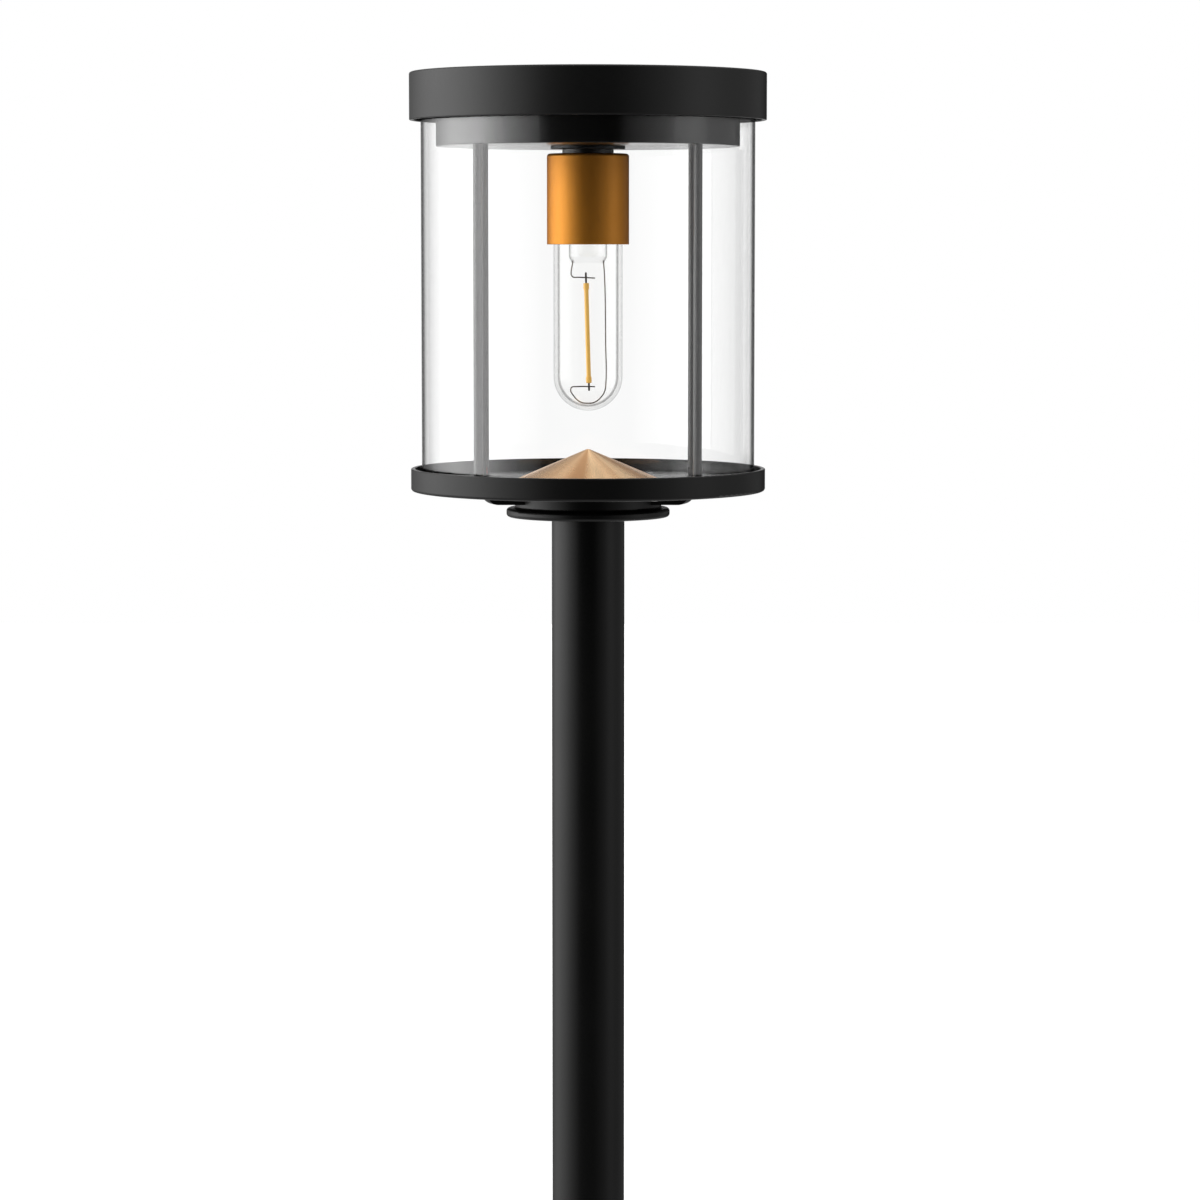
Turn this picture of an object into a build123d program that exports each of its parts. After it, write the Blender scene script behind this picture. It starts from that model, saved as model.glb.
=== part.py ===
from build123d import *
import os
from math import cos, radians, sin

# Electric tiki torch: a clear glass lantern with a hanging tube lamp, on a round pole with a ground spike.
# Millimetres. The origin is on the pole's axis at ground level and +Z is up. The front faces -Y.
# Heights inside the lantern are measured from the underside of its tray.

# ---------------------------------------------------------------- driving dimensions
# Pole and spike
POLE_LENGTH = 1219.0
POLE_R = 17.2
POLE_BORE_R = 15.2
SPIKE_HEAD_R = 32.0
SPIKE_HEAD_T = 6.0
SPIKE_DEPTH = 230.0
SPIGOT_R = 15.1

# Stack between pole and tray
FLANGE_R = 38.6
FLANGE_T = 4.2
NECK_R = 34.6
NECK_H = 8.1
BAR_R = 50.2
BAR_D = 36.0
BAR_H = 5.8

# Lantern
LANTERN_H = 196.0
TRAY_R = 83.6
TRAY_H = 10.6
SHEET = 2.0
CAP_R = 83.8
CAP_H = 22.3
CAP_TOP_T = 2.5
GLASS_R = 78.5
GLASS_WALL = 3.0
HOUSING_R = 71.3
HOUSING_WALL = 0.5
HOUSING_Z = 161.5
DECK_R = 73.4
DECK_Z = 4.2
DECK_T = 1.2
CONE_APEX_Z = 19.3
CONE_BASE_R = 33.8
CONE_WALL = 1.0

# Struts: round bars between the tray's floor and the underside of the lamp housing
STRUT_R = 2.05
STRUT_BORE_R = 1.6
STRUT_CIRCLE = 71.2
FRONT_STRUTS = {"front_left": 225, "front_right": 315}
REAR_STRUTS = {"rear_left": 135, "rear_right": 45}
STRUT_ANGLES = FRONT_STRUTS | REAR_STRUTS

# Lampholder and lamp
CUP_R = 19.3
CUP_WALL = 1.0
CUP_TOP_Z = 158.2
CUP_MOUTH_Z = 115.8
HOLDER_R = 17.0
HOLDER_MOUTH_Z = 127.0
LAMP_R = 16.2
LAMP_WALL = 0.9
LAMP_TIP_Z = 37.7
THREAD_PITCH = 3.63
FILAMENT_R = 1.05
LEAD_R = 0.45

# Fasteners and small fits
M3_R = 1.5
M4_R = 2.0
M5_R = 2.5
M10_R = 5.0
CLEARANCE = 0.2
SEAT_GAP = 0.3

# ---------------------------------------------------------------- derived heights
POLE_FOOT = SPIKE_HEAD_T
POLE_TOP = POLE_FOOT + POLE_LENGTH
NECK_BASE = POLE_TOP + FLANGE_T
TRAY_Z = NECK_BASE + NECK_H
BAR_BASE = TRAY_Z - BAR_H
FLOOR_Z = TRAY_Z + SHEET
CAP_TOP = TRAY_Z + LANTERN_H
CAP_UNDER = CAP_TOP - CAP_TOP_T
HOUSING_BASE = TRAY_Z + HOUSING_Z
HOUSING_FLOOR = HOUSING_BASE + SHEET
DECK_BASE = TRAY_Z + DECK_Z
DECK_TOP = DECK_BASE + DECK_T
GASKET_T = 1.5
CAP_GASKET_T = 3.0
GLASS_BASE = FLOOR_Z + GASKET_T + SEAT_GAP
GLASS_TOP = CAP_UNDER - CAP_GASKET_T - SEAT_GAP
CUP_TOP = TRAY_Z + CUP_TOP_Z
CUP_MOUTH = TRAY_Z + CUP_MOUTH_Z
WASHER_T = 1.4
COLLAR_TOP = HOUSING_BASE - WASHER_T
HOLDER_MOUTH = TRAY_Z + HOLDER_MOUTH_Z
CUP_TOP_T = 1.2
HOLDER_TOP = CUP_TOP - CUP_TOP_T
HOLDER_LID_T = 3.0
HOLDER_SEPTUM_TOP = TRAY_Z + 149.0
HOLDER_SEPTUM_BASE = TRAY_Z + 147.0
LAMP_TIP = TRAY_Z + LAMP_TIP_Z
LAMP_DOME_Z = LAMP_TIP + LAMP_R
SHELL_TOP = TRAY_Z + 139.5
SHELL_FOOT = TRAY_Z + 121.0
CONTACT_TOP = TRAY_Z + 144.8

# Leads: one up the bore of each rear strut, on its inner side, and on through the lamp housing's floor
LEAD_CIRCLE = STRUT_CIRCLE - STRUT_BORE_R + LEAD_R + 0.1
LEAD_SLOT_W = 2 * LEAD_R + 0.4
LEAD_HOLE_R = LEAD_R + 0.07
LEAD_DECK_Z = (FLOOR_Z + DECK_BASE) / 2
LEAD_FOOT_BEND = 4.0
LEAD_TOP_BEND = 8.0
LEAD_HOUSING_Z = HOUSING_BASE + 20.5
FOOT_SLOT_TOP = LEAD_DECK_Z + LEAD_FOOT_BEND + 1.0
STRUT_PLUG_L = 1.5

# Fastener circles: the angles of each group and its radius from the axis
CAP_SCREW_ANGLES = (90, 210, 330)
CAP_SCREW_CIRCLE = 60.0
FITTER_SCREW_ANGLES = (30, 150, 270)
FITTER_SCREW_CIRCLE = 24.0
CONE_SCREW_ANGLES = (0, 120, 240)
CONE_SCREW_CIRCLE = 29.0
DECK_SCREW_ANGLES = (60, 180, 300)
DECK_SCREW_CIRCLE = 60.0
SET_SCREW_ANGLES = (60, 120)
TOP_SET_SCREW_Z = POLE_TOP - 18.0
FOOT_SET_SCREW_Z = POLE_FOOT + 25.0
INLET_Z = 100.0
INLET_R = 3.2
INLET_PLUG_R = 5.0

os.makedirs("parts", exist_ok=True)


def on_circle(radius, angle, z=0.0):
    """The point at that angle in degrees on a circle round the Z axis."""
    return (radius * cos(radians(angle)), radius * sin(radians(angle)), z)


def radial_plane(angle, z, radius=0.0):
    """A plane whose normal points away from the Z axis at that angle."""
    return Plane(origin=on_circle(radius, angle, z), x_dir=(0, 0, 1), z_dir=on_circle(1.0, angle))


def finish(builder, label):
    """Names a finished sub-part and writes its STEP file."""
    builder.part.label = label
    export_step(builder.part, f"parts/{label}.step")


# ---------------------------------------------------------------- ground spike
# Moulded cross of tapered fins under a step plate, with a hollow spigot that enters the pole.
FIN_T = 4.0
FIN_HALF_W = 22.0
BOSS_TOP = POLE_FOOT + 50.0
BOSS_BORE_R = 10.0
CORE_R = 5.5

with BuildPart() as ground_spike:
    for fin_plane in (Plane.XZ, Plane.YZ):
        with BuildSketch(fin_plane):
            with BuildLine():
                Polyline(
                    (-FIN_HALF_W, 0),
                    (FIN_HALF_W, 0),
                    (FIN_HALF_W - 1.5, -60),
                    (2.0, -SPIKE_DEPTH + 8),
                    (0, -SPIKE_DEPTH),
                    (-2.0, -SPIKE_DEPTH + 8),
                    (-FIN_HALF_W + 1.5, -60),
                    close=True,
                )
            make_face()
        extrude(amount=FIN_T / 2, both=True)
    with BuildSketch(Plane.XZ):
        with BuildLine():
            Polyline((0, 0), (CORE_R, 0), (1.2, -SPIKE_DEPTH + 18), (0, -SPIKE_DEPTH + 18), close=True)
        make_face()
    revolve(axis=Axis.Z)
    with BuildSketch(Plane.XY):
        Circle(SPIKE_HEAD_R)
    extrude(amount=SPIKE_HEAD_T)
    head_rims = ground_spike.edges().filter_by(GeomType.CIRCLE).filter_by(
        lambda e: abs(e.radius - SPIKE_HEAD_R) < 0.01
    )
    fillet(head_rims.sort_by(Axis.Z)[-1], radius=2.0)
    with BuildSketch(Plane.XY.offset(SPIKE_HEAD_T)):
        Circle(SPIGOT_R)
    extrude(amount=BOSS_TOP - SPIKE_HEAD_T)
    with BuildSketch(Plane.XY.offset(SPIKE_HEAD_T + 2)):
        Circle(BOSS_BORE_R)
    extrude(amount=BOSS_TOP, mode=Mode.SUBTRACT)
    chamfer(ground_spike.edges().group_by(Axis.Z)[-1].sort_by(SortBy.RADIUS)[-1], length=1.0)
finish(ground_spike, "ground_spike")

# ---------------------------------------------------------------- pole
# Straight aluminium tube, tapped for two pairs of set screws and bored for the cable grommet.
with BuildPart() as pole:
    with BuildSketch(Plane.XY.offset(POLE_FOOT)):
        Circle(POLE_R)
        Circle(POLE_BORE_R, mode=Mode.SUBTRACT)
    extrude(amount=POLE_LENGTH)
    for screw_z in (TOP_SET_SCREW_Z, FOOT_SET_SCREW_Z):
        for angle in SET_SCREW_ANGLES:
            with BuildSketch(radial_plane(angle, screw_z)):
                Circle(M5_R)
            extrude(amount=2 * POLE_R, mode=Mode.SUBTRACT)
    with BuildSketch(radial_plane(90, INLET_Z)):
        Circle(INLET_PLUG_R)
    extrude(amount=2 * POLE_R, mode=Mode.SUBTRACT)
finish(pole, "pole")


def set_screws(screw_z, label):
    """Two cup-point grub screws with hex sockets, from the spigot out to the pole's skin."""
    with BuildPart() as screws:
        for angle in SET_SCREW_ANGLES:
            with BuildSketch(radial_plane(angle, screw_z, SPIGOT_R)):
                Circle(M5_R)
            extrude(amount=POLE_R - SPIGOT_R)
            with BuildSketch(radial_plane(angle, screw_z, SPIGOT_R + 0.5)):
                RegularPolygon(1.25, 6, major_radius=False)
            extrude(amount=POLE_R, mode=Mode.SUBTRACT)
    finish(screws, label)


set_screws(TOP_SET_SCREW_Z, "fitter_set_screws")
set_screws(FOOT_SET_SCREW_Z, "spike_set_screws")

# ---------------------------------------------------------------- cable grommet
# Rubber bush in the back of the pole. Its outer lip is saddled to the pole's round skin.
LIP_R = 7.6
LIP_OUT_Y = POLE_R + 1.9
TAIL_R = 6.0
TAIL_IN_Y = 11.5

with BuildPart() as cable_grommet:
    with BuildSketch(radial_plane(90, INLET_Z, TAIL_IN_Y)):
        Circle(LIP_R)
    extrude(amount=LIP_OUT_Y - TAIL_IN_Y)
    with BuildSketch(Plane.XY.offset(INLET_Z - 2 * LIP_R)):
        Circle(POLE_R)
    extrude(amount=4 * LIP_R, mode=Mode.SUBTRACT)
    fillet(cable_grommet.edges().group_by(Axis.Y)[-1], radius=0.8)
    with BuildSketch(radial_plane(90, INLET_Z, TAIL_IN_Y)):
        Circle(INLET_PLUG_R)
    extrude(amount=LIP_OUT_Y - TAIL_IN_Y - 0.5)
    with BuildSketch(radial_plane(90, INLET_Z, TAIL_IN_Y)):
        Circle(TAIL_R)
    extrude(amount=1.9)
    with BuildSketch(radial_plane(90, INLET_Z)):
        Circle(INLET_R)
    extrude(amount=2 * POLE_R, mode=Mode.SUBTRACT)
finish(cable_grommet, "cable_grommet")

# ---------------------------------------------------------------- splice block
# Two-way terminal block that stands on the spike's spigot inside the pole, with two screws in each way.
WAY_X = 3.0
BLOCK_Y = WAY_X
BLOCK_W = 14.0
BLOCK_D = 9.0
BLOCK_H = 20.0
BLOCK_FOOT_W = 22.0
BLOCK_FOOT_T = 3.0
BLOCK_TOP = BOSS_TOP + BLOCK_H
BLOCK_FRONT = BLOCK_Y - BLOCK_D / 2
BLOCK_SCREW_R = 1.6
BLOCK_SCREW_PITCH = 9.0
BLOCK_SCREW_MID_Z = BOSS_TOP + BLOCK_H / 2 + 1
BLOCK_SCREW_DEPTH = 2.2

with BuildPart() as splice_block:
    with BuildSketch(Plane.XY.offset(BOSS_TOP)):
        with Locations((0, BLOCK_Y)):
            RectangleRounded(BLOCK_FOOT_W, BLOCK_D, 1.0)
    extrude(amount=BLOCK_FOOT_T)
    with BuildSketch(Plane.XY.offset(BOSS_TOP)):
        with Locations((0, BLOCK_Y)):
            RectangleRounded(BLOCK_W, BLOCK_D, 1.0)
    extrude(amount=BLOCK_H)
    with BuildSketch(Plane.XZ.offset(-BLOCK_FRONT)):
        with Locations((0, BLOCK_SCREW_MID_Z)):
            with GridLocations(2 * WAY_X, BLOCK_SCREW_PITCH, 2, 2):
                Circle(BLOCK_SCREW_R)
    extrude(amount=-BLOCK_SCREW_DEPTH, mode=Mode.SUBTRACT)
finish(splice_block, "splice_block")

with BuildPart() as splice_screws:
    with BuildSketch(Plane.XZ.offset(-BLOCK_FRONT - BLOCK_SCREW_DEPTH)):
        with Locations((0, BLOCK_SCREW_MID_Z)):
            with GridLocations(2 * WAY_X, BLOCK_SCREW_PITCH, 2, 2):
                Circle(BLOCK_SCREW_R)
    extrude(amount=1.6)
    with BuildSketch(Plane.XZ.offset(-BLOCK_FRONT - 0.6)):
        with Locations((0, BLOCK_SCREW_MID_Z)):
            with GridLocations(2 * WAY_X, BLOCK_SCREW_PITCH, 2, 2):
                Rectangle(2 * BLOCK_SCREW_R, 0.5)
    extrude(amount=-0.5, mode=Mode.SUBTRACT)
finish(splice_screws, "splice_screws")

# ---------------------------------------------------------------- pole fitter
# Turned flange with a neck above it and a bored spigot below it that slides into the pole.
# A slot milled across the neck's top takes the mounting bar.
SPIGOT_L = 45.0
FITTER_BORE_R = 6.0
FITTER_THREAD_L = 5.0

with BuildPart() as pole_fitter:
    with BuildSketch(Plane.XZ):
        with BuildLine():
            Polyline(
                (FITTER_BORE_R, POLE_TOP - SPIGOT_L),
                (SPIGOT_R, POLE_TOP - SPIGOT_L),
                (SPIGOT_R, POLE_TOP),
                (FLANGE_R, POLE_TOP),
                (FLANGE_R, NECK_BASE),
                (NECK_R, NECK_BASE),
                (NECK_R, TRAY_Z),
                (FITTER_BORE_R, TRAY_Z),
                close=True,
            )
        make_face()
    revolve(axis=Axis.Z)
    flange_edges = pole_fitter.edges().filter_by(GeomType.CIRCLE).filter_by(
        lambda e: abs(e.radius - FLANGE_R) < 0.01
    )
    fillet(flange_edges, radius=1.5)
    neck_root = pole_fitter.edges().filter_by(GeomType.CIRCLE).filter_by(
        lambda e: abs(e.radius - NECK_R) < 0.01
    )
    fillet(neck_root.sort_by(Axis.Z)[0], radius=1.0)
    spigot_end = pole_fitter.edges().group_by(Axis.Z)[0].sort_by(SortBy.RADIUS)[-1]
    chamfer(spigot_end, length=1.0)
    with BuildSketch(Plane.XY.offset(BAR_BASE)):
        Rectangle(2 * FLANGE_R, BAR_D)
    extrude(amount=BAR_H, mode=Mode.SUBTRACT)
    with BuildSketch(Plane.XY.offset(TRAY_Z)):
        with Locations([on_circle(FITTER_SCREW_CIRCLE, a)[:2] for a in FITTER_SCREW_ANGLES]):
            Circle(M4_R)
    extrude(amount=-BAR_H - FITTER_THREAD_L, mode=Mode.SUBTRACT)
finish(pole_fitter, "pole_fitter")

# ---------------------------------------------------------------- mounting bar
# Cross bar that lies in the fitter's slot and reaches out under the tray, rounded below at both ends.
CENTRE_HOLE_R = 8.0
BAR_EDGE_R = 4.5

with BuildPart() as mounting_bar:
    with BuildSketch(Plane.XY.offset(BAR_BASE)):
        Circle(BAR_R)
        Rectangle(2 * BAR_R, BAR_D, mode=Mode.INTERSECT)
        Circle(CENTRE_HOLE_R, mode=Mode.SUBTRACT)
        with Locations([on_circle(FITTER_SCREW_CIRCLE, a)[:2] for a in FITTER_SCREW_ANGLES[:2]]):
            Circle(M4_R + CLEARANCE, mode=Mode.SUBTRACT)
    extrude(amount=BAR_H)
    bar_ends = mounting_bar.edges().filter_by(GeomType.CIRCLE).filter_by(lambda e: abs(e.radius - BAR_R) < 0.01)
    fillet(bar_ends.sort_by(Axis.Z)[:2], radius=BAR_EDGE_R)
finish(mounting_bar, "mounting_bar")

# ---------------------------------------------------------------- tray
# Spun pan that holds the glass: flat floor, upright rim, holes for struts, leads, screws and drainage.
CSK_HEAD_R = 3.8
DRAIN_R = 2.0
DRAIN_CIRCLE = 60.0

with BuildPart() as tray:
    with BuildSketch(Plane.XZ):
        with BuildLine():
            Polyline(
                (CENTRE_HOLE_R, TRAY_Z),
                (TRAY_R, TRAY_Z),
                (TRAY_R, TRAY_Z + TRAY_H),
                (TRAY_R - SHEET, TRAY_Z + TRAY_H),
                (TRAY_R - SHEET, FLOOR_Z),
                (CENTRE_HOLE_R, FLOOR_Z),
                close=True,
            )
        make_face()
    revolve(axis=Axis.Z)
    tray_outer = tray.edges().filter_by(GeomType.CIRCLE).filter_by(
        lambda e: abs(e.radius - TRAY_R) < 0.01
    )
    fillet(tray_outer.sort_by(Axis.Z)[0], radius=1.4)
    fillet(tray.edges().group_by(Axis.Z)[-1], radius=0.5)
    with BuildSketch(Plane.XY.offset(TRAY_Z)):
        with Locations([on_circle(STRUT_CIRCLE, a)[:2] for a in STRUT_ANGLES.values()]):
            Circle(STRUT_R)
        with Locations([on_circle(DRAIN_CIRCLE, a)[:2] for a in CONE_SCREW_ANGLES]):
            Circle(DRAIN_R)
        with Locations([on_circle(DECK_SCREW_CIRCLE, a)[:2] for a in DECK_SCREW_ANGLES]):
            Circle(M3_R + CLEARANCE)
    extrude(amount=SHEET, mode=Mode.SUBTRACT)
    with Locations([on_circle(FITTER_SCREW_CIRCLE, a, FLOOR_Z) for a in FITTER_SCREW_ANGLES]):
        CounterSinkHole(radius=M4_R + CLEARANCE, counter_sink_radius=CSK_HEAD_R + CLEARANCE, depth=SHEET)
finish(tray, "tray")

# Countersunk screws that clamp the tray, and two of them the bar, to the fitter.
with BuildPart() as fitter_screws:
    for angle in FITTER_SCREW_ANGLES:
        with BuildSketch(Plane.XY.offset(BAR_BASE - FITTER_THREAD_L + 0.3)):
            with Locations(on_circle(FITTER_SCREW_CIRCLE, angle)[:2]):
                Circle(M4_R)
        extrude(amount=FITTER_THREAD_L - 0.3 + BAR_H + SHEET - 1.8)
        with BuildSketch(Plane.XY.offset(FLOOR_Z - 1.8)):
            with Locations(on_circle(FITTER_SCREW_CIRCLE, angle)[:2]):
                Circle(M4_R)
        with BuildSketch(Plane.XY.offset(FLOOR_Z)):
            with Locations(on_circle(FITTER_SCREW_CIRCLE, angle)[:2]):
                Circle(CSK_HEAD_R)
        loft()
        with BuildSketch(Plane.XY.offset(FLOOR_Z)):
            with Locations(on_circle(FITTER_SCREW_CIRCLE, angle)[:2]):
                RegularPolygon(1.25, 6, major_radius=False)
        extrude(amount=-1.3, mode=Mode.SUBTRACT)
finish(fitter_screws, "fitter_screws")

# ---------------------------------------------------------------- glass gaskets
with BuildPart() as bottom_gasket:
    with BuildSketch(Plane.XY.offset(FLOOR_Z)):
        Circle(GLASS_R + 1.0)
        Circle(GLASS_R - GLASS_WALL - 0.8, mode=Mode.SUBTRACT)
    extrude(amount=GASKET_T)
finish(bottom_gasket, "bottom_gasket")

with BuildPart() as top_gasket:
    with BuildSketch(Plane.XY.offset(GLASS_TOP)):
        Circle(GLASS_R + 1.0)
        Circle(GLASS_R - GLASS_WALL - 0.8, mode=Mode.SUBTRACT)
    extrude(amount=CAP_GASKET_T)
finish(top_gasket, "top_gasket")

# ---------------------------------------------------------------- lantern glass
with BuildPart() as lantern_glass:
    with BuildSketch(Plane.XY.offset(GLASS_BASE)):
        Circle(GLASS_R)
        Circle(GLASS_R - GLASS_WALL, mode=Mode.SUBTRACT)
    extrude(amount=GLASS_TOP - GLASS_BASE)
    fillet(lantern_glass.edges().filter_by(GeomType.CIRCLE), radius=0.6)
finish(lantern_glass, "lantern_glass")

# ---------------------------------------------------------------- deck plate
# Thin disc over the leads, notched at its rim for the struts and, behind them, for the leads.
NOTCH_R = STRUT_R + CLEARANCE
NOTCH_OUTER_R = DECK_R + 1.0
LEAD_NOTCH_CIRCLE = LEAD_CIRCLE - LEAD_FOOT_BEND

with BuildPart() as deck_plate:
    with BuildSketch(Plane.XY.offset(DECK_BASE)):
        Circle(DECK_R)
        with PolarLocations(STRUT_CIRCLE, len(STRUT_ANGLES), start_angle=45):
            Circle(NOTCH_R, mode=Mode.SUBTRACT)
        with PolarLocations((STRUT_CIRCLE + NOTCH_OUTER_R) / 2, len(STRUT_ANGLES), start_angle=45):
            Rectangle(NOTCH_OUTER_R - STRUT_CIRCLE, 2 * NOTCH_R, mode=Mode.SUBTRACT)
        with PolarLocations((LEAD_NOTCH_CIRCLE + STRUT_CIRCLE) / 2, len(REAR_STRUTS), 45, 180):
            Rectangle(STRUT_CIRCLE - LEAD_NOTCH_CIRCLE, LEAD_SLOT_W, mode=Mode.SUBTRACT)
        with Locations([on_circle(CONE_SCREW_CIRCLE, a)[:2] for a in CONE_SCREW_ANGLES]):
            Circle(M3_R, mode=Mode.SUBTRACT)
        with Locations([on_circle(DECK_SCREW_CIRCLE, a)[:2] for a in DECK_SCREW_ANGLES]):
            Circle(M3_R, mode=Mode.SUBTRACT)
        Circle(CENTRE_HOLE_R, mode=Mode.SUBTRACT)
    extrude(amount=DECK_T)
finish(deck_plate, "deck_plate")

# Tapped bushes swaged into the deck. They stand on the tray floor and take the screws from below.
BUSH_R = 3.0
BUSH_TAP_R = 1.25
with BuildPart() as deck_bushes:
    with BuildSketch(Plane.XY.offset(FLOOR_Z)):
        with Locations([on_circle(DECK_SCREW_CIRCLE, a)[:2] for a in DECK_SCREW_ANGLES]):
            Circle(BUSH_R)
    extrude(amount=DECK_BASE - FLOOR_Z)
    with BuildSketch(Plane.XY.offset(DECK_BASE)):
        with Locations([on_circle(DECK_SCREW_CIRCLE, a)[:2] for a in DECK_SCREW_ANGLES]):
            Circle(M3_R)
    extrude(amount=DECK_T)
    with BuildSketch(Plane.XY.offset(FLOOR_Z)):
        with Locations([on_circle(DECK_SCREW_CIRCLE, a)[:2] for a in DECK_SCREW_ANGLES]):
            Circle(BUSH_TAP_R)
    extrude(amount=DECK_BASE - FLOOR_Z + 0.4, mode=Mode.SUBTRACT)
finish(deck_bushes, "deck_bushes")

DECK_HEAD_R = 2.8
DECK_HEAD_T = 1.6
with BuildPart() as deck_screws:
    with BuildSketch(Plane.XY.offset(TRAY_Z - DECK_HEAD_T)):
        with Locations([on_circle(DECK_SCREW_CIRCLE, a)[:2] for a in DECK_SCREW_ANGLES]):
            Circle(DECK_HEAD_R)
    extrude(amount=DECK_HEAD_T)
    fillet(deck_screws.edges().group_by(Axis.Z)[0], radius=0.6)
    with BuildSketch(Plane.XY.offset(TRAY_Z)):
        with Locations([on_circle(DECK_SCREW_CIRCLE, a)[:2] for a in DECK_SCREW_ANGLES]):
            Circle(BUSH_TAP_R)
    extrude(amount=DECK_BASE - TRAY_Z)
    with BuildSketch(Plane.XY.offset(TRAY_Z - DECK_HEAD_T)):
        with Locations([on_circle(DECK_SCREW_CIRCLE, a)[:2] for a in DECK_SCREW_ANGLES]):
            RegularPolygon(1.0, 6, major_radius=False)
    extrude(amount=1.0, mode=Mode.SUBTRACT)
finish(deck_screws, "deck_screws")

# ---------------------------------------------------------------- reflector cone
# Spun cone with a rounded tip and a turned-in base flange.
CONE_SLOPE = (CONE_APEX_Z + 0.5 - DECK_Z - DECK_T) / CONE_BASE_R
CONE_TIP_R = 2.0
CONE_BASE_Z = DECK_TOP
CONE_SHARP_Z = CONE_BASE_Z + CONE_SLOPE * CONE_BASE_R

with BuildPart() as reflector_cone:
    with BuildSketch(Plane.XZ):
        with BuildLine():
            Polyline(
                (0, CONE_SHARP_Z),
                (CONE_BASE_R, CONE_BASE_Z),
                (CONE_SCREW_CIRCLE - 4, CONE_BASE_Z),
                (CONE_SCREW_CIRCLE - 4, CONE_BASE_Z + CONE_WALL),
                (CONE_BASE_R - 2 * CONE_WALL / CONE_SLOPE, CONE_BASE_Z + CONE_WALL),
                (0, CONE_SHARP_Z - CONE_WALL * 1.1),
                close=True,
            )
        make_face()
    revolve(axis=Axis.Z)
    with BuildSketch(Plane.XZ):
        with BuildLine():
            Polyline((0, CONE_SHARP_Z + 1), (6, CONE_SHARP_Z + 1), (0, CONE_SHARP_Z - 0.5), close=True)
        make_face()
    revolve(axis=Axis.Z, mode=Mode.SUBTRACT)
    with BuildSketch(Plane.XY.offset(CONE_BASE_Z)):
        with Locations([on_circle(CONE_SCREW_CIRCLE, a)[:2] for a in CONE_SCREW_ANGLES]):
            Circle(1.2)
    extrude(amount=CONE_WALL, mode=Mode.SUBTRACT)
finish(reflector_cone, "reflector_cone")

# Pan-head screws from under the deck into the cone's base flange.
with BuildPart() as cone_screws:
    with BuildSketch(Plane.XY.offset(DECK_BASE - 1.2)):
        with Locations([on_circle(CONE_SCREW_CIRCLE, a)[:2] for a in CONE_SCREW_ANGLES]):
            Circle(2.6)
    extrude(amount=1.2)
    with BuildSketch(Plane.XY.offset(DECK_BASE)):
        with Locations([on_circle(CONE_SCREW_CIRCLE, a)[:2] for a in CONE_SCREW_ANGLES]):
            Circle(1.2)
    extrude(amount=DECK_T + CONE_WALL)
finish(cone_screws, "cone_screws")

# ---------------------------------------------------------------- struts
# Four round bars brazed through the tray's floor and under the lamp housing. The rear two are bored for
# the leads: a window at the foot lets the lead in and a small hole through the plugged top lets it out.
for corner, angle in STRUT_ANGLES.items():
    strut_spot = on_circle(STRUT_CIRCLE, angle)[:2]
    with BuildPart() as strut:
        with BuildSketch(Plane.XY.offset(TRAY_Z)):
            with Locations(strut_spot):
                Circle(STRUT_R)
        extrude(amount=HOUSING_BASE - TRAY_Z)
        if corner in REAR_STRUTS:
            with BuildSketch(Plane.XY.offset(FLOOR_Z)):
                with Locations(strut_spot):
                    Circle(STRUT_BORE_R)
            extrude(amount=HOUSING_BASE - STRUT_PLUG_L - FLOOR_Z, mode=Mode.SUBTRACT)
            with BuildSketch(Plane.XY.offset(HOUSING_BASE)):
                with Locations(on_circle(LEAD_CIRCLE, angle)[:2]):
                    Circle(LEAD_HOLE_R)
            extrude(amount=-STRUT_PLUG_L, mode=Mode.SUBTRACT)
            with BuildSketch(radial_plane(angle, (FLOOR_Z + FOOT_SLOT_TOP) / 2, STRUT_CIRCLE)):
                Rectangle(FOOT_SLOT_TOP - FLOOR_Z, LEAD_SLOT_W)
            extrude(amount=-2 * STRUT_R, mode=Mode.SUBTRACT)
    finish(strut, f"strut_{corner}")

# ---------------------------------------------------------------- lamp housing
# Drum under the cap that carries the lampholder and hides the wiring.
HOUSING_TOP = CAP_UNDER - 0.5

with BuildPart() as lamp_housing:
    with BuildSketch(Plane.XZ):
        with BuildLine():
            Polyline(
                (M10_R + CLEARANCE, HOUSING_BASE),
                (HOUSING_R, HOUSING_BASE),
                (HOUSING_R, HOUSING_TOP),
                (HOUSING_R - HOUSING_WALL, HOUSING_TOP),
                (HOUSING_R - HOUSING_WALL, HOUSING_FLOOR),
                (M10_R + CLEARANCE, HOUSING_FLOOR),
                close=True,
            )
        make_face()
    revolve(axis=Axis.Z)
    housing_outer = lamp_housing.edges().filter_by(GeomType.CIRCLE).filter_by(
        lambda e: abs(e.radius - HOUSING_R) < 0.01
    )
    fillet(housing_outer.sort_by(Axis.Z)[0], radius=0.5)
    with BuildSketch(Plane.XY.offset(HOUSING_BASE)):
        with Locations([on_circle(LEAD_CIRCLE, a)[:2] for a in REAR_STRUTS.values()]):
            Circle(LEAD_HOLE_R)
    extrude(amount=SHEET, mode=Mode.SUBTRACT)
finish(lamp_housing, "lamp_housing")

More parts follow.
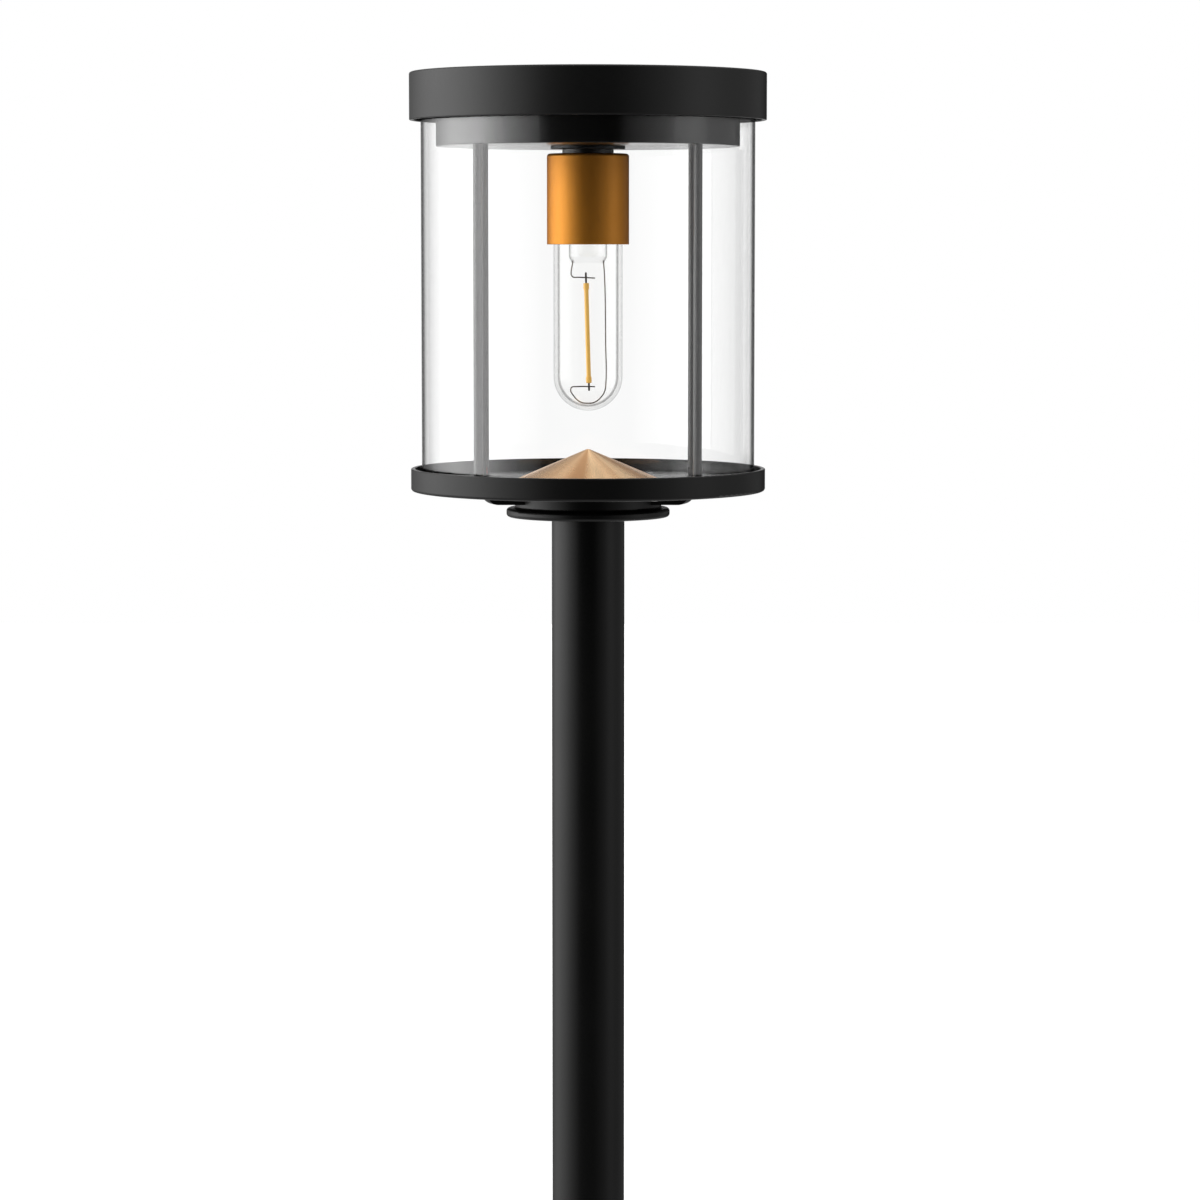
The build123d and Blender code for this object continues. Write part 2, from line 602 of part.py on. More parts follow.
# Tapped pillars that the cap screws enter.
TAP_L = 10.0
with BuildPart() as cap_standoffs:
    with BuildSketch(Plane.XY.offset(HOUSING_FLOOR)):
        with Locations([on_circle(CAP_SCREW_CIRCLE, a)[:2] for a in CAP_SCREW_ANGLES]):
            RegularPolygon(4.0, 6, major_radius=False)
    extrude(amount=CAP_UNDER - SEAT_GAP - HOUSING_FLOOR)
    with BuildSketch(Plane.XY.offset(CAP_UNDER)):
        with Locations([on_circle(CAP_SCREW_CIRCLE, a)[:2] for a in CAP_SCREW_ANGLES]):
            Circle(M4_R + 0.05)
    extrude(amount=-TAP_L, mode=Mode.SUBTRACT)
finish(cap_standoffs, "cap_standoffs")

# ---------------------------------------------------------------- cap
# Flat spun cover with a deep skirt over the glass.
SKIRT_WALL = 2.0
CAP_CSK_R = 4.0

with BuildPart() as cap:
    with BuildSketch(Plane.XZ):
        with BuildLine():
            Polyline(
                (0, CAP_UNDER),
                (CAP_R - SKIRT_WALL, CAP_UNDER),
                (CAP_R - SKIRT_WALL, CAP_TOP - CAP_H),
                (CAP_R, CAP_TOP - CAP_H),
                (CAP_R, CAP_TOP),
                (0, CAP_TOP),
                close=True,
            )
        make_face()
    revolve(axis=Axis.Z)
    cap_outer = cap.edges().filter_by(GeomType.CIRCLE).filter_by(lambda e: abs(e.radius - CAP_R) < 0.01)
    fillet(cap_outer.sort_by(Axis.Z)[-1], radius=1.0)
    fillet(cap.edges().group_by(Axis.Z)[0], radius=0.5)
    with Locations([on_circle(CAP_SCREW_CIRCLE, a, CAP_TOP) for a in CAP_SCREW_ANGLES]):
        CounterSinkHole(radius=M4_R + CLEARANCE, counter_sink_radius=CAP_CSK_R + CLEARANCE, depth=CAP_TOP_T)
finish(cap, "cap")

# Flush hex-socket screws, captive in the cap.
CAP_SCREW_L = 10.0
CAP_HEAD_H = 2.0
with BuildPart() as cap_screws:
    for angle in CAP_SCREW_ANGLES:
        with BuildSketch(Plane.XY.offset(CAP_TOP - CAP_SCREW_L)):
            with Locations(on_circle(CAP_SCREW_CIRCLE, angle)[:2]):
                Circle(M4_R)
        extrude(amount=CAP_SCREW_L - CAP_HEAD_H)
        with BuildSketch(Plane.XY.offset(CAP_TOP - CAP_HEAD_H)):
            with Locations(on_circle(CAP_SCREW_CIRCLE, angle)[:2]):
                Circle(M4_R)
        with BuildSketch(Plane.XY.offset(CAP_TOP)):
            with Locations(on_circle(CAP_SCREW_CIRCLE, angle)[:2]):
                Circle(CAP_CSK_R)
        loft()
        with BuildSketch(Plane.XY.offset(CAP_TOP)):
            with Locations(on_circle(CAP_SCREW_CIRCLE, angle)[:2]):
                RegularPolygon(1.25, 6, major_radius=False)
        extrude(amount=-1.5, mode=Mode.SUBTRACT)
finish(cap_screws, "cap_screws")

# ---------------------------------------------------------------- lampholder hanger
# Hollow threaded nipple with its locknut, cover washer and collar.
NIPPLE_BORE_R = 3.5
NIPPLE_TOP = HOUSING_BASE + 11.0
HOLDER_CAVITY_TOP = HOLDER_TOP - HOLDER_LID_T

with BuildPart() as nipple:
    with BuildSketch(Plane.XY.offset(HOLDER_CAVITY_TOP)):
        Circle(M10_R)
        Circle(NIPPLE_BORE_R, mode=Mode.SUBTRACT)
    extrude(amount=NIPPLE_TOP - HOLDER_CAVITY_TOP)
    chamfer(nipple.edges().group_by(Axis.Z)[-1].sort_by(SortBy.RADIUS)[-1], length=0.5)
finish(nipple, "nipple")

with BuildPart() as nipple_locknut:
    with BuildSketch(Plane.XY.offset(HOUSING_FLOOR)):
        RegularPolygon(7.5, 6, major_radius=False)
        Circle(M10_R, mode=Mode.SUBTRACT)
    extrude(amount=3.5)
finish(nipple_locknut, "nipple_locknut")

with BuildPart() as cover_washer:
    with BuildSketch(Plane.XY.offset(COLLAR_TOP)):
        Circle(17.5)
        Circle(M10_R + CLEARANCE, mode=Mode.SUBTRACT)
    extrude(amount=WASHER_T)
    washer_rims = cover_washer.edges().filter_by(GeomType.CIRCLE).sort_by(SortBy.RADIUS)[-2:]
    fillet(washer_rims.sort_by(Axis.Z)[0], radius=0.5)
finish(cover_washer, "cover_washer")

with BuildPart() as stem_collar:
    with BuildSketch(Plane.XY.offset(CUP_TOP)):
        Circle(12.05)
        Circle(M10_R + CLEARANCE, mode=Mode.SUBTRACT)
    extrude(amount=COLLAR_TOP - CUP_TOP)
finish(stem_collar, "stem_collar")

# ---------------------------------------------------------------- socket cup
# Spun cup over the lampholder, open at its mouth.
with BuildPart() as socket_cup:
    with BuildSketch(Plane.XZ):
        with BuildLine():
            Polyline(
                (M10_R + CLEARANCE, HOLDER_TOP),
                (CUP_R - CUP_WALL, HOLDER_TOP),
                (CUP_R - CUP_WALL, CUP_MOUTH),
                (CUP_R, CUP_MOUTH),
                (CUP_R, CUP_TOP),
                (M10_R + CLEARANCE, CUP_TOP),
                close=True,
            )
        make_face()
    revolve(axis=Axis.Z)
    cup_outer = socket_cup.edges().filter_by(GeomType.CIRCLE).filter_by(
        lambda e: abs(e.radius - CUP_R) < 0.01
    )
    fillet(cup_outer.sort_by(Axis.Z)[-1], radius=1.4)
    fillet(socket_cup.edges().group_by(Axis.Z)[0], radius=0.3)
finish(socket_cup, "socket_cup")

# ---------------------------------------------------------------- lampholder
# Moulded body with a lid that threads onto the nipple, a septum, a brass screw shell and a centre contact.
HOLDER_SHELL_R = 14.3
HOLDER_SHELL_BORE_R = 13.7
HOLDER_CAVITY_R = 12.0
TERMINAL_R = 1.3
TERMINAL_CIRCLE = 2.2
LEAD_END_Z = TRAY_Z + 151.0

with BuildPart() as lampholder_body:
    with BuildSketch(Plane.XZ):
        with BuildLine():
            Polyline(
                (M10_R, HOLDER_TOP),
                (HOLDER_R, HOLDER_TOP),
                (HOLDER_R, HOLDER_MOUTH),
                (HOLDER_SHELL_R, HOLDER_MOUTH),
                (HOLDER_SHELL_R, HOLDER_SEPTUM_BASE),
                (0, HOLDER_SEPTUM_BASE),
                (0, HOLDER_SEPTUM_TOP),
                (HOLDER_CAVITY_R, HOLDER_SEPTUM_TOP),
                (HOLDER_CAVITY_R, HOLDER_CAVITY_TOP),
                (M10_R, HOLDER_CAVITY_TOP),
                close=True,
            )
        make_face()
    revolve(axis=Axis.Z)
    holder_rims = lampholder_body.edges().filter_by(GeomType.CIRCLE).filter_by(
        lambda e: abs(e.radius - HOLDER_R) < 0.01
    )
    fillet(holder_rims.sort_by(Axis.Z)[0], radius=0.8)
finish(lampholder_body, "lampholder_body")

with BuildPart() as lampholder_shell:
    with BuildSketch(Plane.XZ):
        with BuildLine():
            Polyline(
                (HOLDER_SHELL_BORE_R, HOLDER_MOUTH + 1),
                (HOLDER_SHELL_R, HOLDER_MOUTH + 1),
                (HOLDER_SHELL_R, HOLDER_SEPTUM_BASE),
                (HOLDER_SHELL_R - 3, HOLDER_SEPTUM_BASE),
                (HOLDER_SHELL_R - 3, HOLDER_SEPTUM_BASE - 0.6),
                (HOLDER_SHELL_BORE_R, HOLDER_SEPTUM_BASE - 0.6),
                close=True,
            )
        make_face()
    revolve(axis=Axis.Z)
finish(lampholder_shell, "lampholder_shell")

with BuildPart() as centre_contact:
    with BuildSketch(Plane.XZ):
        with BuildLine():
            Polyline(
                (-9.0, HOLDER_SEPTUM_BASE),
                (-5.0, HOLDER_SEPTUM_BASE),
                (1.5, CONTACT_TOP + 0.8),
                (4.0, CONTACT_TOP + 1.3),
                (4.0, CONTACT_TOP + 0.8),
                (1.5, CONTACT_TOP + SEAT_GAP),
                (-5.0, HOLDER_SEPTUM_BASE - 0.5),
                (-9.0, HOLDER_SEPTUM_BASE - 0.5),
                close=True,
            )
        make_face()
    extrude(amount=2.0, both=True)
finish(centre_contact, "centre_contact")

with BuildPart() as holder_terminals:
    with BuildSketch(Plane.XY.offset(HOLDER_SEPTUM_TOP)):
        with Locations([on_circle(TERMINAL_CIRCLE, a)[:2] for a in REAR_STRUTS.values()]):
            Circle(TERMINAL_R)
    extrude(amount=LEAD_END_Z - HOLDER_SEPTUM_TOP)
finish(holder_terminals, "holder_terminals")

# ---------------------------------------------------------------- leads
# Two insulated leads. Each runs in one upright plane: splice, pole, deck, rear strut, housing, lampholder.
POLE_LEAD_R = WAY_X / cos(radians(45))
LEAD_BENDS = (5.0, LEAD_FOOT_BEND, LEAD_TOP_BEND, 5.0)
LEAD_POLARITY = {"rear_left": "lead_positive", "rear_right": "lead_negative"}

for corner, angle in REAR_STRUTS.items():
    route = [
        on_circle(POLE_LEAD_R, angle, BLOCK_TOP),
        on_circle(POLE_LEAD_R, angle, LEAD_DECK_Z),
        on_circle(LEAD_CIRCLE, angle, LEAD_DECK_Z),
        on_circle(LEAD_CIRCLE, angle, LEAD_HOUSING_Z),
        on_circle(TERMINAL_CIRCLE, angle, LEAD_HOUSING_Z),
        on_circle(TERMINAL_CIRCLE, angle, LEAD_END_Z),
    ]
    with BuildPart() as lead:
        with BuildLine():
            path = FilletPolyline(*route, radius=LEAD_BENDS)
        with BuildSketch(Plane(origin=route[0], z_dir=(0, 0, 1))):
            Circle(LEAD_R)
        sweep(path=path)
    finish(lead, LEAD_POLARITY[corner])

# ---------------------------------------------------------------- lamp
# Tube lamp with a medium screw cap: glass, stem, support wires, filament, cap shell, insulator and contact.
NECK_GLASS_R = 11.5
SHOULDER_TOP = SHELL_FOOT
SHOULDER_FOOT = TRAY_Z + 116.4
NECK_TOP = TRAY_Z + 136.0

with BuildPart() as bulb_glass:
    with BuildSketch(Plane.XZ):
        with BuildLine():
            l1 = Line((NECK_GLASS_R, NECK_TOP), (NECK_GLASS_R, SHOULDER_TOP))
            l2 = Bezier(
                l1 @ 1,
                (NECK_GLASS_R + 0.2, SHOULDER_TOP - 2.6),
                (LAMP_R, SHOULDER_TOP - 2.0),
                (LAMP_R, SHOULDER_FOOT),
            )
            l3 = Line(l2 @ 1, (LAMP_R, LAMP_DOME_Z))
            l4 = RadiusArc(l3 @ 1, (0, LAMP_TIP), LAMP_R)
            l5 = Line(l4 @ 1, (0, LAMP_TIP + LAMP_WALL))
            l6 = RadiusArc(l5 @ 1, (LAMP_R - LAMP_WALL, LAMP_DOME_Z), -(LAMP_R - LAMP_WALL))
            l7 = Line(l6 @ 1, (LAMP_R - LAMP_WALL, SHOULDER_FOOT))
            l8 = Bezier(
                l7 @ 1,
                (LAMP_R - LAMP_WALL, SHOULDER_TOP - 2.6),
                (NECK_GLASS_R - LAMP_WALL, SHOULDER_TOP - 3.0),
                (NECK_GLASS_R - LAMP_WALL, SHOULDER_TOP),
            )
            l9 = Line(l8 @ 1, (NECK_GLASS_R - LAMP_WALL, NECK_TOP))
            Line(l9 @ 1, l1 @ 0)
        make_face()
    revolve(axis=Axis.Z)
finish(bulb_glass, "bulb_glass")

STEM_R = 8.95
STEM_BORE_R = 4.8
STEM_END = TRAY_Z + 107.1
STEM_FLARE = TRAY_Z + 134.0
with BuildPart() as bulb_stem:
    with BuildSketch(Plane.XZ):
        with BuildLine():
            Polyline(
                (0, STEM_END),
                (STEM_R - 1.4, STEM_END),
                (STEM_R, STEM_END + 3.0),
                (STEM_R, STEM_FLARE - 4.0),
                (NECK_GLASS_R - LAMP_WALL - 0.05, STEM_FLARE - 1.0),
                (NECK_GLASS_R - LAMP_WALL - 0.05, STEM_FLARE),
                (STEM_BORE_R, STEM_FLARE),
                (STEM_BORE_R, STEM_END + 4.6),
                (STEM_BORE_R - 1.8, STEM_END + 2.8),
                (0, STEM_END + 2.8),
                close=True,
            )
        make_face()
    revolve(axis=Axis.Z)
finish(bulb_stem, "bulb_stem")

# Screw cap: rings at the thread's pitch stand for the thread.
CREST_R = 13.0
ROOT_R = 12.2
SHELL_WALL = 0.4
THREAD_TURNS = 4
SHELL_SHOULDER = SHELL_TOP - 2.0
with BuildPart() as bulb_shell:
    with BuildSketch(Plane.XZ):
        with BuildLine():
            thread = [(9.0, SHELL_TOP), (ROOT_R, SHELL_SHOULDER)]
            for turn in range(THREAD_TURNS):
                top = SHELL_SHOULDER - turn * THREAD_PITCH
                thread.append((CREST_R, top - THREAD_PITCH / 2))
                thread.append((ROOT_R, top - THREAD_PITCH))
            outer = Polyline(*thread, (CREST_R - 0.3, SHELL_FOOT + 1), (CREST_R - 0.3, SHELL_FOOT))
            inner = Polyline(
                outer @ 1,
                (NECK_GLASS_R, SHELL_FOOT),
                (NECK_GLASS_R, SHELL_SHOULDER - 0.3),
                (9.0, SHELL_TOP - SHELL_WALL),
                outer @ 0,
            )
        make_face()
    revolve(axis=Axis.Z)
finish(bulb_shell, "bulb_shell")

INSULATOR_TOP = TRAY_Z + 142.6
with BuildPart() as bulb_insulator:
    with BuildSketch(Plane.XY.offset(SHELL_TOP)):
        Circle(9.0)
    with BuildSketch(Plane.XY.offset(INSULATOR_TOP)):
        Circle(4.8)
    loft()
finish(bulb_insulator, "bulb_insulator")

with BuildPart() as bulb_contact:
    with BuildSketch(Plane.XY.offset(INSULATOR_TOP)):
        Circle(4.7)
    extrude(amount=CONTACT_TOP - INSULATOR_TOP)
    fillet(bulb_contact.edges().group_by(Axis.Z)[-1], radius=1.6)
finish(bulb_contact, "bulb_contact")

DRIVER_Z = TRAY_Z + 134.6
with BuildPart() as bulb_driver:
    with BuildSketch(Plane.XY.offset(DRIVER_Z)):
        Circle(8.0)
    extrude(amount=1.2)
    with BuildSketch(Plane.XY.offset(DRIVER_Z + 1.2)):
        with Locations((-2.5, 0), (3.5, 1.5)):
            Rectangle(4.0, 5.0)
    extrude(amount=2.0)
finish(bulb_driver, "bulb_driver")

# Support wires: the short one holds the filament's top, the long one loops under it.
WIRE_R = 0.3
WIRE_X = 7.8
FILAMENT_TOP = TRAY_Z + 97.7
FILAMENT_FOOT = TRAY_Z + 50.7
TOP_ARM_Z = TRAY_Z + 100.4
FOOT_ARM_Z = TRAY_Z + 49.0
ARM_END_X = 3.3
LOOP_Z = TRAY_Z + 41.4

with BuildPart() as bulb_wires:
    with BuildLine():
        short_wire = FilletPolyline(
            (-WIRE_X + 1.4, 0, STEM_END),
            (-WIRE_X + 1.4, 0, STEM_END - 0.8),
            (-WIRE_X, 0, STEM_END - 2.4),
            (-WIRE_X, 0, TOP_ARM_Z + 0.2),
            (ARM_END_X, 0, TOP_ARM_Z - 0.3),
            radius=(0.5, 0.8, 1.0),
        )
    with BuildSketch(Plane(origin=short_wire @ 0, z_dir=short_wire % 0)):
        Circle(WIRE_R)
    sweep(path=short_wire)
    with BuildLine():
        long_wire = FilletPolyline(
            (WIRE_X - 1.0, 0, STEM_END),
            (WIRE_X - 1.0, 0, STEM_END - 1.0),
            (WIRE_X, 0, STEM_END - 6.0),
            (WIRE_X + 0.6, 0, FOOT_ARM_Z + 2.0),
            (WIRE_X - 3.4, 0, LOOP_Z),
            (-WIRE_X + 3.2, 0, LOOP_Z),
            (-WIRE_X - 0.6, 0, FOOT_ARM_Z - 2.6),
            (-WIRE_X + 0.6, 0, FOOT_ARM_Z),
            (ARM_END_X, 0, FOOT_ARM_Z),
            radius=(1.0, 3.0, 6.0, 3.5, 3.5, 1.0, 1.0),
        )
    with BuildSketch(Plane(origin=long_wire @ 0, z_dir=long_wire % 0)):
        Circle(WIRE_R)
    sweep(path=long_wire)
finish(bulb_wires, "bulb_wires")

# Coated filament rod with thicker ends. It leans a little, as it hangs between the two arms.
FILAMENT_Y = -(WIRE_R + 0.3)
FILAMENT_TOP_X = -0.9
FILAMENT_FOOT_X = 0.4
END_L = 3.0
END_R = 1.35
TAB_L = 5.0
TAB_W = 0.9
TAB_T = 0.5
filament_way = Vector(FILAMENT_FOOT_X - FILAMENT_TOP_X, 0, FILAMENT_FOOT - FILAMENT_TOP)
filament_plane = Plane(
    origin=(FILAMENT_TOP_X, FILAMENT_Y, FILAMENT_TOP), x_dir=(0, 1, 0), z_dir=filament_way
)
FILAMENT_L = filament_way.length

with BuildPart() as led_filament:
    with BuildSketch(filament_plane):
        Circle(END_R)
    extrude(amount=END_L)
    with BuildSketch(filament_plane.offset(END_L)):
        Circle(FILAMENT_R)
    extrude(amount=FILAMENT_L - 2 * END_L)
    with BuildSketch(filament_plane.offset(FILAMENT_L - END_L)):
        Circle(END_R)
    extrude(amount=END_L)
    fillet(led_filament.edges().filter_by(GeomType.CIRCLE).sort_by(Axis.Z)[0], radius=0.5)
    fillet(led_filament.edges().filter_by(GeomType.CIRCLE).sort_by(Axis.Z)[-1], radius=0.5)
finish(led_filament, "led_filament")

with BuildPart() as filament_tabs:
    for tab_plane, reach in ((filament_plane, -TAB_L), (filament_plane.offset(FILAMENT_L), TAB_L - 1.4)):
        with BuildSketch(tab_plane):
            Rectangle(TAB_T, TAB_W)
        extrude(amount=reach)
finish(filament_tabs, "filament_tabs")
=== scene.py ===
import math

import bpy
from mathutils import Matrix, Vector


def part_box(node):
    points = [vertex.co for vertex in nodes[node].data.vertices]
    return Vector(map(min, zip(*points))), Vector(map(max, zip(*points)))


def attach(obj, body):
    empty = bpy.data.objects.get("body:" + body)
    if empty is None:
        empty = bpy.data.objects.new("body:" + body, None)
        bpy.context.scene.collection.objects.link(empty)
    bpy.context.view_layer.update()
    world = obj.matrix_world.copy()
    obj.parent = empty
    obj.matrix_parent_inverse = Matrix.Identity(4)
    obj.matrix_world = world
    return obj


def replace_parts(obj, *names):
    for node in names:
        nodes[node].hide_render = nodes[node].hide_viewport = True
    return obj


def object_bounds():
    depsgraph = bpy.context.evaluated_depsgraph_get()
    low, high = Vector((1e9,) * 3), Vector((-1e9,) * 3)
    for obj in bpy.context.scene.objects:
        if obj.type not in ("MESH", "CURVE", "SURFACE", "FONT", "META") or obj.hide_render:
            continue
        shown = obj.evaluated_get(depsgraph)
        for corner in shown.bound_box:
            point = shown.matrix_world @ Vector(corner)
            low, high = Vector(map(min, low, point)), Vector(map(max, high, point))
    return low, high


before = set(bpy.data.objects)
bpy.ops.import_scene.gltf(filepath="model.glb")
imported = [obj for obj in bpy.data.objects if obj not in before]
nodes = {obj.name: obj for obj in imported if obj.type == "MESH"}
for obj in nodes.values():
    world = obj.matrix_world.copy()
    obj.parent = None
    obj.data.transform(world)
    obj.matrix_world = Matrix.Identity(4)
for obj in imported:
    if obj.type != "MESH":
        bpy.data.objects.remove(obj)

cad_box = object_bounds()

# ---- Ground spike ----------------------------------------------------------
# Four tapered fins under a round step plate, moulded in black glass-filled nylon.
# Its spigot is pushed into the pole's foot and held there by two set screws.


def socket(group, name, kind, in_out, default=None):
    """One named socket on a finish group."""
    made = group.interface.new_socket(name=name, in_out=in_out, socket_type=kind)
    if default is not None:
        made.default_value = default
    return made


def new_finish(name):
    """An empty finish group with its own input and output nodes."""
    group = bpy.data.node_groups.new(name, "ShaderNodeTree")
    return group, group.nodes.new("NodeGroupInput"), group.nodes.new("NodeGroupOutput")


def math_node(tree, operation, first, second=None, clamp=False):
    """A Math node, with its inputs either linked or set. It returns the result socket."""
    node = tree.nodes.new("ShaderNodeMath")
    node.operation = operation
    node.use_clamp = clamp
    for slot_number, value in enumerate((first, second)):
        if value is None:
            continue
        if isinstance(value, (int, float)):
            node.inputs[slot_number].default_value = value
        else:
            tree.links.new(value, node.inputs[slot_number])
    return node.outputs[0]


def noise_node(tree, where, scale, detail=3.0, roughness=0.5):
    """A noise whose scale is in waves a metre. It returns the 0 to 1 value socket."""
    node = tree.nodes.new("ShaderNodeTexNoise")
    node.inputs["Scale"].default_value = scale
    node.inputs["Detail"].default_value = detail
    node.inputs["Roughness"].default_value = roughness
    tree.links.new(where, node.inputs["Vector"])
    return node.outputs["Fac"]


def spread(tree, value, low, high, to_low, to_high):
    """Maps a value from one range to another and holds it at the ends."""
    node = tree.nodes.new("ShaderNodeMapRange")
    node.inputs["From Min"].default_value = low
    node.inputs["From Max"].default_value = high
    for end, name in ((to_low, "To Min"), (to_high, "To Max")):
        if isinstance(end, (int, float)):
            node.inputs[name].default_value = end
        else:
            tree.links.new(end, node.inputs[name])
    tree.links.new(value, node.inputs["Value"])
    return node.outputs["Result"]


def tint(tree, factor, first, second):
    """A colour between two, each a colour or a socket."""
    node = tree.nodes.new("ShaderNodeMix")
    node.data_type = "RGBA"
    if isinstance(factor, (int, float)):
        node.inputs["Factor"].default_value = factor
    else:
        tree.links.new(factor, node.inputs["Factor"])
    for value, name in ((first, 6), (second, 7)):
        if isinstance(value, (tuple, list)):
            node.inputs[name].default_value = (*value, 1.0)
        else:
            tree.links.new(value, node.inputs[name])
    return node.outputs[2]


def place(tree):
    """The surface point in the part's own frame, in metres."""
    return tree.nodes.new("ShaderNodeTexCoord").outputs["Object"]


def grained_finish():
    """Fine moulded or sprayed grain with slow patches and dust that settles on what faces up."""
    group, given, result = new_finish("grained_finish")
    socket(group, "Color", "NodeSocketColor", "INPUT", (0.02, 0.02, 0.02, 1.0))
    socket(group, "Dust Color", "NodeSocketColor", "INPUT", (0.3, 0.28, 0.25, 1.0))
    socket(group, "Roughness", "NodeSocketFloat", "INPUT", 0.5)
    socket(group, "Grain Scale", "NodeSocketFloat", "INPUT", 900.0)
    socket(group, "Dust", "NodeSocketFloat", "INPUT", 0.1)
    socket(group, "Color", "NodeSocketColor", "OUTPUT")
    socket(group, "Roughness", "NodeSocketFloat", "OUTPUT")
    socket(group, "Height", "NodeSocketFloat", "OUTPUT")
    point = place(group)
    grain = group.nodes.new("ShaderNodeTexNoise")
    grain.inputs["Detail"].default_value = 2.0
    group.links.new(point, grain.inputs["Vector"])
    group.links.new(given.outputs["Grain Scale"], grain.inputs["Scale"])
    orange_peel = noise_node(group, point, 160.0, 1.0)
    patches = noise_node(group, point, 14.0, 4.0)
    specks = noise_node(group, point, 420.0, 5.0, 0.7)
    geometry = group.nodes.new("ShaderNodeNewGeometry")
    facing = group.nodes.new("ShaderNodeSeparateXYZ")
    group.links.new(geometry.outputs["Normal"], facing.inputs[0])
    up = spread(group, facing.outputs["Z"], 0.35, 1.0, 0.0, 1.0)
    dusty = math_node(group, "MULTIPLY", up, spread(group, specks, 0.42, 0.62, 0.15, 1.0))
    dusty = math_node(group, "MULTIPLY", dusty, given.outputs["Dust"], clamp=True)
    lighter = tint(group, 0.85, (0.0, 0.0, 0.0), given.outputs["Color"])
    mottled = tint(group, patches, lighter, given.outputs["Color"])
    group.links.new(tint(group, dusty, mottled, given.outputs["Dust Color"]), result.inputs["Color"])
    uneven = spread(group, patches, 0.3, 0.7, -0.035, 0.035)
    gritty = spread(group, grain.outputs["Fac"], 0.3, 0.7, -0.02, 0.03)
    rough = math_node(group, "ADD", given.outputs["Roughness"], uneven)
    rough = math_node(group, "ADD", rough, math_node(group, "MULTIPLY", dusty, 0.3))
    rough = math_node(group, "ADD", rough, gritty, clamp=True)
    group.links.new(rough, result.inputs["Roughness"])
    height = math_node(group, "MULTIPLY", orange_peel, 0.5)
    height = math_node(group, "ADD", height, grain.outputs["Fac"])
    group.links.new(height, result.inputs["Height"])
    return group


grained = grained_finish()

COAT_RELIEF = 0.0002


def grained_material(name, color, roughness, grain, bump, dust=0.03, specular=0.5, glow=0.0):
    """A Principled material that takes its colour, roughness and bump from the grained finish."""
    material = bpy.data.materials.new(name)
    material.use_nodes = True
    tree = material.node_tree
    shader = tree.nodes["Principled BSDF"]
    shader.inputs["Specular IOR Level"].default_value = specular
    # Any glow is painted light: emission in the surface's own colour.
    shader.inputs["Emission Color"].default_value = (*color, 1.0)
    shader.inputs["Emission Strength"].default_value = glow
    finish = tree.nodes.new("ShaderNodeGroup")
    finish.node_tree = grained
    finish.inputs["Color"].default_value = (*color, 1.0)
    finish.inputs["Roughness"].default_value = roughness
    finish.inputs["Grain Scale"].default_value = grain
    finish.inputs["Dust"].default_value = dust
    tree.links.new(finish.outputs["Color"], shader.inputs["Base Color"])
    tree.links.new(finish.outputs["Roughness"], shader.inputs["Roughness"])
    relief = tree.nodes.new("ShaderNodeBump")
    relief.inputs["Strength"].default_value = bump
    relief.inputs["Distance"].default_value = COAT_RELIEF
    tree.links.new(finish.outputs["Height"], relief.inputs["Height"])
    tree.links.new(relief.outputs["Normal"], shader.inputs["Normal"])
    return material


def dress(material, *names):
    """Puts a material on nodes of the frame."""
    for name in names:
        node = nodes[name]
        node.data.materials.clear()
        node.data.materials.append(material)


spike_nylon = grained_material("spike_nylon", (0.022, 0.022, 0.023), 0.52, 700.0, 0.35, dust=0.3)
dress(spike_nylon, "ground_spike")

# ---- Pole ------------------------------------------------------------------
# Drawn aluminium tube, powder coated black with a satin sheen and a faint orange peel.
# The pole slides over the spike's spigot and the fitter slides into its top.

BLACK = (0.0022, 0.0022, 0.002)
pole_coat = grained_material("pole_coat", BLACK, 0.32, 1500.0, 0.10, dust=0.02, specular=0.21)
dress(pole_coat, "pole")

# ---- Set screws, bushes and other small hardware -----------------------------
# Stainless socket screws and tapped bushes, turned bright, under a patchy dull film.
# They hold the spike, the fitter, the tray, the deck, the cone and the cap, and clamp the leads.


